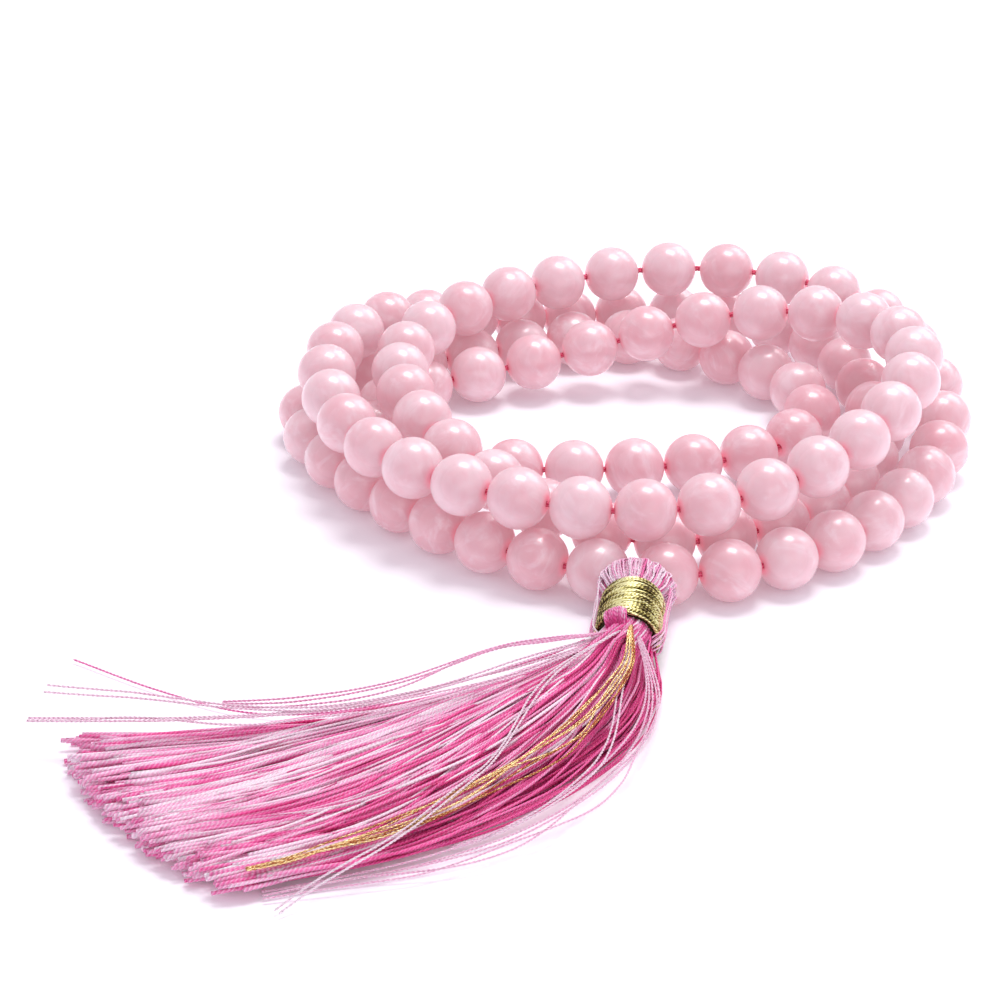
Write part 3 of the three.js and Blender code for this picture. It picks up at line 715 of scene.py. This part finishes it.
def make_cord():
    """Plies laid round each other through all the bores, closed inside the tassel's head."""
    gaps = gap_middles()
    corners = np.vstack([gaps[-1:], gaps])
    line = resample(spline(corners, closed=False)[None], CORD_RINGS)
    side, up = carry_frames(line)
    turn = (2 * np.pi / CORD_LAY) * run_lengths(line)[:, :, None]
    plies = Threads()
    for ply in range(CORD_PLIES):
        angle = turn + 2 * np.pi * ply / CORD_PLIES
        swing = CORD_PLY_SWING * (np.cos(angle) * side + np.sin(angle) * up)
        plies.add(line + swing, CORD_PLY_RADIUS, [0.5], PLY_SIDES)
    piece = plies.piece("crimson_cord", CRIMSON_CORD)
    place_piece(piece, "strand", "crimson_cord", "stringing_cord")


# ---------------------------------------------------------------- tassel head and binding

TASSEL_AXIS = unit(BINDING_END - BINDING_START)
TASSEL_SIDE = unit(np.cross(TASSEL_AXIS, (0, 0, 1.0))) * -1
BINDING_LENGTH = length_of(BINDING_END - BINDING_START)
KNOT = (MIDDLES[0] + MIDDLES[-1]) / 2


def tassel_point(back, across, up):
    """A point by its distance behind the binding's mouth, across the tassel, and above its axis."""
    return (BINDING_END - TASSEL_AXIS * np.asarray(back)[..., None]
            + TASSEL_SIDE * np.asarray(across)[..., None]
            + np.array([0, 0, 1.0]) * np.asarray(up)[..., None])


def smooth_paths(controls, count):
    """Even points on the smooth curves through lists of control points."""
    lines = np.stack([spline(points, closed=False) for points in controls])
    return resample(lines, count)


def clear_of_beads(paths, beads, clearance):
    for bead in beads:
        away = paths - MIDDLES[bead]
        distance = np.linalg.norm(away, axis=-1, keepdims=True)
        paths = np.where(distance < clearance, MIDDLES[bead] + away / distance * clearance, paths)
    return paths


HEAD_REACH = BINDING_LENGTH / MM
# Millimetres beyond the binding, across the tassel and above its axis, of the head's outline.
HEAD_RISE = [(-3, 2.5, 2.5), (-0.3, 3, 3.1), (1.2, 3.9, 3.6), (2.8, 4.45, 4), (4.2, 4.3, 3.9)]
HEAD_LAYERS = [(1.0, 84), (0.95, 80), (0.88, 40)]  # share of the outline, and number of threads
HEAD_TURN = 1.55  # radians from the top to the outermost thread on either side
HEAD_RINGS = 56
HEAD_RADIUS = 0.125 * MM
HEAD_FLOOR = 0.3 * MM  # the lowest a thread's middle lies
BEAD_GAP = 0.27 * MM  # from a bead to the middle of a thread beside it


def head_controls(angle, depth):
    """One thread folded over the cord: up out of the binding, over the head and back below it."""
    sin, cos = math.sin(angle), math.cos(angle)
    fold = (0.95 + 0.75 * abs(cos)) * MM * depth
    aside = 0.3 * sin * MM
    over = [KNOT + np.array([aside, -0.2 * MM, fold]), KNOT + np.array([aside, fold, 0]),
            KNOT + np.array([aside, -0.2 * MM, -fold])]
    back = np.array([HEAD_REACH + step[0] for step in HEAD_RISE]) * MM
    across = np.array([step[1] for step in HEAD_RISE]) * sin * depth * MM
    across[1:] += rng.normal(0, 0.1, len(across) - 1) * MM
    up = np.array([step[2] for step in HEAD_RISE]) * cos * depth * MM
    fall = tassel_point(back, across, -up)[::-1]
    return np.vstack([tassel_point(back, across, up), over, fall])


OUTSIDE_THREADS = 9  # on either side
OUTSIDE_RINGS = 40
OUTSIDE_RADIUS = 0.1 * MM
OUTSIDE_REACH = 4.3  # millimetres from the tassel's axis
OUTSIDE_BACK = [HEAD_REACH + 2.6, HEAD_REACH + 0.8, 6, 3, 0.3, -1.5]
OUTSIDE_PULL = [0.95, 1.02, 1.0, 1.0, 0.96, 0.7]  # share of that reach, at each of those places


def outside_controls(side):
    """One thread that runs from the head down outside the binding."""
    up = rng.uniform(-2.6, 1.6)
    across = side * (math.sqrt(OUTSIDE_REACH**2 - up**2) + rng.uniform(0, 0.2))
    back = np.array(OUTSIDE_BACK) + rng.uniform(-0.2, 0.6)
    pull = np.array(OUTSIDE_PULL) + rng.normal(0, 0.01, len(OUTSIDE_PULL))
    leans = up * pull + rng.normal(0, 0.15, len(OUTSIDE_PULL))
    return tassel_point(back * MM, across * pull * MM, leans * MM)


def make_head():
    """Threads folded over the cord, and a few that run down outside the binding."""
    threads = Threads()
    for depth, count in HEAD_LAYERS:
        angles = np.linspace(-HEAD_TURN, HEAD_TURN, count) + rng.normal(0, 0.1, count)
        depths = depth + rng.normal(0, 0.03, count)
        paths = smooth_paths([head_controls(*pair) for pair in zip(angles, depths)], HEAD_RINGS)
        paths = clear_of_beads(paths, (0, BEAD_COUNT - 1), BEAD_RADIUS + BEAD_GAP)
        paths[:, :, 2] = np.maximum(paths[:, :, 2], HEAD_FLOOR)
        # Painted shade: the threads of the inner layers are darker, as they lie under the outer ones.
        tints = np.clip(rng.normal(0.86, 0.22, count), 0.2, 1.15) - 4 * (1 - depth)
        threads.add(paths, HEAD_RADIUS, tints, PLY_SIDES)
    outside = [outside_controls(side) for side in (-1, 1) for _ in range(OUTSIDE_THREADS)]
    tints = rng.uniform(0.5, 1.1, len(outside))
    threads.add(smooth_paths(outside, OUTSIDE_RINGS), OUTSIDE_RADIUS, tints, PLY_SIDES)
    piece = threads.piece("head_threads", DYED_THREAD)
    place_piece(piece, "tassel", "tassel_thread", "tassel_head")


# Millimetres behind the binding's mouth, share of the place across, and millimetres above the axis.
TUFT_BEND = [(-0.9, 0.7, 2.6), (-0.3, 0.85, 3.4), (0.2, 0.95, 4.0), (0.35, 1.0, 4.3),
             (0.0, 1.0, 4.5), (-0.7, 0.95, 4.1), (-1.3, 0.85, 3.2), (-1.8, 0.8, 2.0)]
TUFT_THREADS = 26
TUFT_RINGS = 30
TUFT_RADIUS = 0.15 * MM
TUFT_ACROSS = (-2.7, -0.2)  # millimetres across the tassel
TUFT_MIDDLE = 1.45  # millimetres aside that its middle lies, and half of its width
RIM_HEIGHT = 3.9  # millimetres above the axis; only what is higher bulges
RIM_REACH = 4.6  # radius of the round that the tuft lies over


def make_tuft():
    """A fold of threads that bulges back over the binding's rim before it falls into the skirt."""
    controls = []
    for across in np.linspace(*TUFT_ACROSS, TUFT_THREADS) + rng.normal(0, 0.07, TUFT_THREADS):
        lean = rng.normal(0, 0.12)
        bulge = math.sqrt(max(0.05, 1 - ((across + TUFT_MIDDLE) / TUFT_MIDDLE)**2))
        bulge += rng.uniform(-0.1, 0.1)
        back = np.array([step[0] * (bulge if step[0] > 0 else 1) for step in TUFT_BEND])
        aside = np.array([across * step[1] + lean * step[0] for step in TUFT_BEND])
        crown = math.sqrt(1 - (across / RIM_REACH)**2)
        up = np.array([(min(step[2], RIM_HEIGHT) + max(step[2] - RIM_HEIGHT, 0) * bulge) * crown
                       for step in TUFT_BEND])
        controls.append(tassel_point(back * MM, aside * MM, up * MM))
    threads = Threads()
    along = np.linspace(0, 1, TUFT_RINGS)
    # Painted light on the crown of the fold, and painted shade where it turns under and falls into
    # the skirt.
    tints = np.interp(along, (0, 0.35, 0.6, 0.8), (0.3, 0.7, 0.4, -0.1))
    tints = tints + rng.normal(0, 0.12, (len(controls), 1))
    threads.add(smooth_paths(controls, TUFT_RINGS), TUFT_RADIUS, tints)
    place_piece(threads.piece("rim_tuft", DYED_THREAD), "tassel", "tassel_thread")


RINGS_PER_TURN = 36
TURN_DRIFT = 0.1 * MM  # how far the turns stray along the binding
TURN_SWELL = 0.04 * MM  # how far their radius strays
WINDING_RADIUS = 0.14 * MM
# Turns of each layer, then in millimetres its radius, start, end and lean.
WINDING_LAYERS = [(27, 3.66, 0.15, 9.4, 0.1), (24, 3.78, 9.3, 0.25, 0.2),
                  (13, 3.86, 0.6, 8.9, 0.5)]
SHADE_SLEEVE_RADIUS = 3.58 * MM  # of the dark cylinder seen between the turns, painted shade for the gaps between them
SHADE_SLEEVE_ENDS = (0.1, 9.5)
SHADE_SLEEVE_RINGS = 20
SHADE_SLEEVE_SIDES = 32


def wound_path(turns, radius, start, end, lean):
    """A helix round the binding whose turns lean one way and another, so that some cross.

    Its second value is painted reflection: four bright stripes round the binding, and a slow wave."""
    steps = int(turns * RINGS_PER_TURN)
    along = np.linspace(0, 1, steps)
    angle = 2 * np.pi * turns * along
    each_turn = np.arange(turns + 1)
    leans = np.interp(along * turns, each_turn, rng.normal(0, lean, turns + 1))
    drift = np.interp(along * turns, each_turn, rng.normal(0, TURN_DRIFT, turns + 1))
    back = np.linspace(start, end, steps) + leans * np.sin(angle + 0.9) + drift
    swell = radius + np.interp(along * turns, each_turn, rng.normal(0, TURN_SWELL, turns + 1))
    # Painted reflections: bright stripes and a slow wave by the angle round the binding.
    reflection_stripes, wave = np.cos(4 * (angle + 0.25)), np.sin(angle * 2.3 + rng.uniform(0, 6))
    bright = 0.025 + 0.09 * reflection_stripes + 0.05 * wave
    return tassel_point(back, swell * np.sin(angle), swell * np.cos(angle))[None], bright[None]


def make_binding():
    threads = Threads()
    for turns, radius, start, end, lean in WINDING_LAYERS:
        paths, tints = wound_path(turns, radius * MM, start * MM, end * MM, lean * MM)
        threads.add(paths, WINDING_RADIUS, tints, PLY_SIDES)
    on_axis = np.zeros(SHADE_SLEEVE_RINGS)
    # A dark cylinder under the turns: painted shade seen in the gaps between them.
    shade_sleeve = tassel_point(np.linspace(*SHADE_SLEEVE_ENDS, SHADE_SLEEVE_RINGS) * MM, on_axis, on_axis)
    threads.add(shade_sleeve[None], SHADE_SLEEVE_RADIUS, [-0.6], SHADE_SLEEVE_SIDES)
    piece = threads.piece("gold_winding", GOLD_WINDING)
    place_piece(piece, "tassel", "gold_thread", "gold_binding")


# Millimetres behind the binding's mouth, and radius there.
BUNDLE_PROFILE = [(0.8, 1.6), (1.6, 2.8), (5, 3.2), (9.5, 2.9), (10.8, 3.1), (12.2, 3.2),
                  (13.2, 2.6), (14, 1.6)]
BUNDLE_RINGS = 24
BUNDLE_SIDES = 24


def make_bundle():
    """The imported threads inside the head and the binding, seen only between the outer ones."""
    back, radius = np.array(BUNDLE_PROFILE).T * MM
    path = smooth_paths([tassel_point(back, 0 * back, 0 * back)], BUNDLE_RINGS)
    reach = np.linspace(back[0], back[-1], BUNDLE_RINGS)
    threads = Threads()
    # The deep tint is painted shade on the inner threads.
    threads.add(path, np.interp(reach, back, radius)[None], [0.05], BUNDLE_SIDES)
    place_piece(threads.piece("thread_bundle", DYED_THREAD), "tassel", "tassel_thread")


# ---------------------------------------------------------------- skirt

EDGES = [spline(np.array(points) * MM, closed=False)
         for points in (SKIRT_BACK, SKIRT_MIDDLE, SKIRT_FRONT)]
EDGE_ALONG = np.linspace(0, 1, len(EDGES[0]))


def skirt_plan(place, along):
    """Points of the skirt's plan: place is 0 at the back edge and 1 at the front edge."""
    back, middle, front = ([np.interp(along, EDGE_ALONG, edge[:, axis]) for axis in (0, 1)]
                           for edge in EDGES)
    weights = (2 * (place - 0.5) * (place - 1), 4 * place * (1 - place), 2 * place * (place - 0.5))
    return [weights[0] * back[axis] + weights[1] * middle[axis] + weights[2] * front[axis]
            for axis in (0, 1)]


SKIRT_CROWN = 1.1  # how much the skirt falls away from its middle to its two edges
BACK_LIFT = 2.0 * MM  # how much its cut ends rise at the back edge
BACK_SHARE = 0.4  # of the skirt's width, over which they rise
SKIRT_FLOOR = 0.3 * MM  # least height of a thread's middle, and its depth below the crown
# Millimetres behind the binding's mouth, and reach across and up, of a thread just inside and
# just outside it.
MOUTH_INSIDE = (3, 2.6, 2.6)
MOUTH_OUTSIDE = (-0.2, 3.25, 3.2)


def skirt_height(place, along):
    fall = 1 - (1 - along) ** 2
    place = np.clip(place, 0, 1)
    crown = 1 - SKIRT_CROWN * (place - 0.5) ** 2
    lifted_back = BACK_LIFT * np.clip(1 - place / BACK_SHARE, 0, 1) * along
    return (SKIRT_ROOT_HEIGHT * (1 - fall) + SKIRT_END_HEIGHT * fall) * crown + lifted_back


def skirt_paths(roots, places, layers, reach, count):
    """Threads from inside the binding's mouth to their cut ends.

    Roots are places across the mouth; places and layers are arrays of (thread, step): place
    across the skirt and share of its height."""
    steps = np.linspace(0, 1, places.shape[1])[None] * reach[:, None]
    x, y = skirt_plan(places, steps)
    z = SKIRT_FLOOR + layers * (skirt_height(places, steps) - 2 * SKIRT_FLOOR)
    fan = np.stack([x, y, z], axis=-1)
    square_across, square_up = roots * 2 - 1, np.clip(layers[:, 0], 0, 1) * 2 - 1
    across = square_across * np.sqrt(1 - square_up**2 / 2)
    up = square_up * np.sqrt(1 - square_across**2 / 2)
    inside, mouth = (
        tassel_point(np.full(len(across), back * MM), across * wide * MM, up * high * MM)
        for back, wide, high in (MOUTH_INSIDE, MOUTH_OUTSIDE))
    return smooth_paths(np.concatenate([inside[:, None], mouth[:, None], fan], axis=1), count)


def wander(number, steps, size, waves=3):
    """Smooth random waves along each of some threads, nothing at the root."""
    along = np.linspace(0, 1, steps)[None]
    total = np.zeros((number, steps))
    for wave in range(1, waves + 1):
        phase = rng.uniform(0, 2 * np.pi, (number, 1))
        pitch = wave * rng.uniform(0.7, 1.3, (number, 1))
        total += rng.normal(0, size / wave, (number, 1)) * np.sin(2 * np.pi * pitch * along + phase)
    return total * np.minimum(1, along * 3)


SKIRT_STEPS = 16  # places along a thread that its layout is drawn at
SKIRT_RINGS = 34  # rings of points along a thread's mesh
LOCKS = 5
THREADS_PER_LOCK = 160
CLUMPS_PER_LOCK = 16
CLUMPED_SHARE = 0.7  # of the threads, which keep to a clump
CROSSING_SHARE = 0.1  # of the threads, which lie on top and cross the others
ROOT_SPREAD = 0.012  # of a thread from its place in the lock, as a share of the skirt's width
CLUMP_BEND = 0.02  # shares of the skirt's width that clumps and threads wander
THREAD_BEND = 0.007
LAYER_BEND = 0.07  # share of its height
SPLAY_START = 0.65  # share of its length from which the ends splay
TINT_SPREAD = 0.27
TINT_RANGE = (-0.1, 1.1)
RAGGED = (0.968, 0.022)  # mean and spread of the share of the length that a thread reaches
REACH_RANGE = (0.88, 1.0)


def lock_threads(lock):
    """Roots, places, layers, tints and reaches of one lock's threads.

    Most keep to loose clumps. The upper ones cross from the back towards the front edge and the
    lower ones the other way. The deeper a thread lies and the nearer its root, the darker it is, as
    painted shade."""
    number = THREADS_PER_LOCK
    along = np.linspace(0, 1, SKIRT_STEPS)[None]
    clump = rng.integers(0, CLUMPS_PER_LOCK, number)
    clumped = rng.uniform(0, 1, number) < CLUMPED_SHARE
    even = (np.arange(CLUMPS_PER_LOCK) + rng.uniform(0, 1, CLUMPS_PER_LOCK)) / CLUMPS_PER_LOCK
    clump_layers = rng.permutation(np.linspace(0.15, 1, CLUMPS_PER_LOCK))
    clump_bends = wander(CLUMPS_PER_LOCK, SKIRT_STEPS, CLUMP_BEND, 3)
    own = (lock + np.where(clumped, even[clump], rng.uniform(0, 1, number))) / LOCKS
    own = np.clip(own + rng.normal(0, ROOT_SPREAD, number), 0, 1)
    layer = np.where(clumped, clump_layers[clump] + rng.normal(0, 0.05, number),
                     rng.uniform(0, 1, number))
    leans = rng.normal(0, 0.07, CLUMPS_PER_LOCK)
    cross = np.interp(layer, (0, 0.35, 0.7, 1), (-0.2, -0.05, 0.15, 0.3))
    cross += np.where(clumped, leans[clump] + rng.normal(0, 0.015, number),
                      rng.normal(0, 0.1, number))
    crosser = rng.uniform(0, 1, number) < CROSSING_SHARE
    cross[crosser] = rng.uniform(0.2, 0.6, crosser.sum())
    layer[crosser] = rng.uniform(0.9, 1.04, crosser.sum())
    start = own * (1 - np.abs(cross)) + np.maximum(-cross, 0)
    place = start[:, None] + cross[:, None] * along**1.2
    place += wander(number, SKIRT_STEPS, THREAD_BEND, 4)
    place += np.where(clumped & ~crosser, 1, 0)[:, None] * clump_bends[clump]
    layers = layer[:, None] + wander(number, SKIRT_STEPS, LAYER_BEND, 4)
    splay = np.clip((along - SPLAY_START) / (1 - SPLAY_START), 0, 1)**1.5
    place += rng.normal(0, 0.014, (number, 1)) * splay
    layers += rng.normal(0, 0.16, (number, 1)) * splay
    clump_tints = rng.normal(0, 0.12, CLUMPS_PER_LOCK)
    # Painted shade: the deeper a thread lies, the darker it is.
    tint = -0.17 + 0.52 * np.clip(layer, 0, 1)**1.5 + 0.08 * (1 - own)
    tint += rng.normal(0, TINT_SPREAD, number)
    tint += np.where(clumped, clump_tints[clump], 0) + np.where(crosser, 0.2, 0)
    # Painted light: threads grow paler from the root towards their ends, more so near the back edge.
    painted_paling = 0.2 + 0.3 * np.clip(1 - 2.5 * own, 0, 1)
    tints = tint[:, None] + painted_paling[:, None] * np.linspace(0, 1, SKIRT_RINGS)
    ragged = rng.normal(*RAGGED, number) + rng.normal(0, 0.012, CLUMPS_PER_LOCK)[clump]
    return (own, np.clip(place, -0.02, 1.02), np.clip(layers, 0, 1.06),
            np.clip(tints, *TINT_RANGE), np.clip(ragged, *REACH_RANGE))


END_START, END_FULL = 0.8, 0.97  # shares of a thread over which its cut end swells and pales; the paling is painted light on the cut ends
END_LIGHT_SHARE = 0.8


def make_skirt():
    """Pieces of threads, one for each lock of the frame."""
    for lock in range(LOCKS):
        roots, places, layers, tints, reach = lock_threads(lock)
        paths = skirt_paths(roots, places, layers, reach, SKIRT_RINGS)
        along = np.linspace(0, 1, SKIRT_RINGS)
        to_end = np.clip((along - END_START) / (END_FULL - END_START), 0, 1)
        # Painted light: the cut ends are paler.
        end_light_tints = rng.normal(0.75, 0.2, (THREADS_PER_LOCK, 1))
        tints = tints * (1 - END_LIGHT_SHARE * to_end) + end_light_tints * END_LIGHT_SHARE * to_end
        swell = 1 + rng.uniform(0.1, 0.8, (THREADS_PER_LOCK, 1)) * to_end
        radii = THREAD_RADIUS * rng.uniform(0.8, 1.2, (THREADS_PER_LOCK, 1)) * swell
        threads = Threads()
        threads.add(paths, radii, tints)
        piece = threads.piece(f"skirt_threads_{lock + 1}", DYED_THREAD)
        finish_skirt(piece, "tassel_thread", f"skirt_lock_{lock + 1}")


def finish_skirt(piece, slot, *nodes):
    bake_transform(piece)
    if nodes:
        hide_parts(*nodes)


STRAND_STEPS = 40
STRAND_RINGS = 60
# Two places in the binding's mouth: distances behind it, across the tassel, and above its axis.
STRAND_ROOTS = np.array([(2.5, 0.3), (0.4, 0.6), (1.8, 2.3)]) * MM


def strands_along(line, number, spread, end_share=1.0):
    """Strands that part and rejoin along a given line, all through the binding's mouth.

    At the end of the line they lie a share of the spread apart."""
    middle = smooth_paths([line], STRAND_STEPS)[0]
    sideways = unit(np.cross(np.gradient(middle, axis=0), (0, 0, 1.0)))
    apart = np.linspace(-spread, spread, number)[:, None]
    apart = apart + wander(number, STRAND_STEPS, spread * 0.8)
    along = np.linspace(0, 1, STRAND_STEPS)
    apart *= np.interp(along, (0, 0.2, 0.55, 1), (0.2, 1, 1, end_share))
    paths = middle[None] + apart[:, :, None] * sideways[None]
    roots = np.broadcast_to(tassel_point(*STRAND_ROOTS), (number, 2, 3))
    return smooth_paths(np.concatenate([roots, paths[:, ::3]], axis=1), STRAND_RINGS)


LAID_ON_TOP = np.array([0, 0, 0.4]) * MM
GOLD_STRANDS = 7
GOLD_SPREAD = 1.25 * MM
GOLD_RADIUS = 0.13 * MM


def make_gold_threads():
    threads = Threads()
    line = np.array(GOLD_LINE) * MM + LAID_ON_TOP
    paths = strands_along(line, GOLD_STRANDS, GOLD_SPREAD, end_share=0.12)
    threads.add_pairs(paths, GOLD_RADIUS, rng.uniform(-0.15, 0.08, GOLD_STRANDS), THREAD_LAY)
    finish_skirt(threads.piece("gold_skirt_threads", GOLD_THREAD), "gold_thread", "gold_threads")


LOOSE_RADIUS = 0.14 * MM


def make_stray_threads():
    """Threads that leave the locks: pale ones across the top, and ends that stand away."""
    threads = Threads()
    for line, number, spread, tint, radius in STRAYS:
        paths = strands_along(np.array(line) * MM, number, spread * MM)
        threads.add_pairs(paths, radius * MM, np.full(number, tint), THREAD_LAY)
    loose = smooth_paths([np.array(LOOSE_THREAD) * MM], STRAND_RINGS)
    threads.add_pairs(loose, LOOSE_RADIUS, np.array([0.5]), THREAD_LAY)
    finish_skirt(threads.piece("stray_threads", DYED_THREAD), "tassel_thread", "loose_thread")


# ---------------------------------------------------------------- floor, light and camera


FLOOR_HALF = 3.0
FLOOR_PALE = (0.94, 0.92, 0.98, 1)
FLOOR_WHITE = (0.95, 0.94, 0.99, 1)
FLOOR_GLOW = (1.0, 0.95, 1.0, 1)


def make_stage():
    nodes = Nodes("floor_white")
    speck = nodes.noise(nodes.add("ShaderNodeTexCoord").outputs["Object"], scale=60, detail=2)
    colour = nodes.mix(speck, FLOOR_PALE, FLOOR_WHITE)
    nodes.set(Base_Color=colour, Roughness=0.6, Emission_Color=FLOOR_GLOW, Emission_Strength=0.06)
    mesh = bpy.data.meshes.new("floor")
    corners = [(x * FLOOR_HALF, y * FLOOR_HALF, 0) for x, y in ((-1, -1), (1, -1), (1, 1), (-1, 1))]
    mesh.from_pydata(corners, [], [(0, 1, 2, 3)])
    mesh.materials.append(nodes.material)
    floor = new_object("floor", mesh)


ROOM_LIGHT = (0.97, 0.93, 1.0, 1)
ROOM_STRENGTH = 0.72
LIT_MIDDLE = np.array([0, 30, 0]) * MM
# Name, watts, size and place from the lit middle in metres, and share of it seen in highlights.
LAMPS = [
    ("overhead", 2.1, (0.28, 0.2), (0.06, 0.13, 0.6), 1),
    ("front_fill", 2.4, (1.2, 0.6), (0.35, -1.0, 0.4), 1),
    ("back_soft", 1.6, (0.5, 0.35), (0.42, 0.45, 0.5), 0),
]


def area_light(name, power, size, location, target):
    light = bpy.data.lights.new(name, "AREA")
    light.shape = "RECTANGLE"
    light.size, light.size_y = size
    light.energy = power
    lamp = new_object(name, light)
    lamp.location = Vector(location)
    lamp.rotation_euler = (Vector(target) - lamp.location).to_track_quat("-Z", "Y").to_euler()
    return lamp


def make_light():
    world = bpy.data.worlds.new("studio")
    world.use_nodes = True
    background = world.node_tree.nodes["Background"]
    background.inputs["Color"].default_value = ROOM_LIGHT
    background.inputs["Strength"].default_value = ROOM_STRENGTH
    bpy.context.scene.world = world
    middle = PLACE + LIT_MIDDLE
    for name, power, size, place, gloss in LAMPS:
        lamp = area_light(name, power, size, middle + np.array(place), middle)
        lamp.data.specular_factor = gloss
    bpy.context.scene.view_settings.view_transform = "Standard"


CAMERA_PLACE = np.array([-16.3, -323.1, 171.4]) * MM
CAMERA_DOWN_DEG = 26.0
CAMERA_LENS = 106.2
SENSOR = 36.0


def make_camera():
    data = bpy.data.cameras.new("camera")
    data.lens = CAMERA_LENS
    data.sensor_width = SENSOR
    data.clip_start = 0.01
    camera = new_object("camera", data)
    camera.location = Vector(CAMERA_PLACE + PLACE)
    camera.rotation_euler = (math.radians(90 - CAMERA_DOWN_DEG), 0, 0)
    bpy.context.scene.camera = camera


make_camera()
make_beads()
make_cord()
make_head()
make_binding()
make_tuft()
make_bundle()
make_skirt()
make_gold_threads()
make_stray_threads()
make_stage()
make_light()
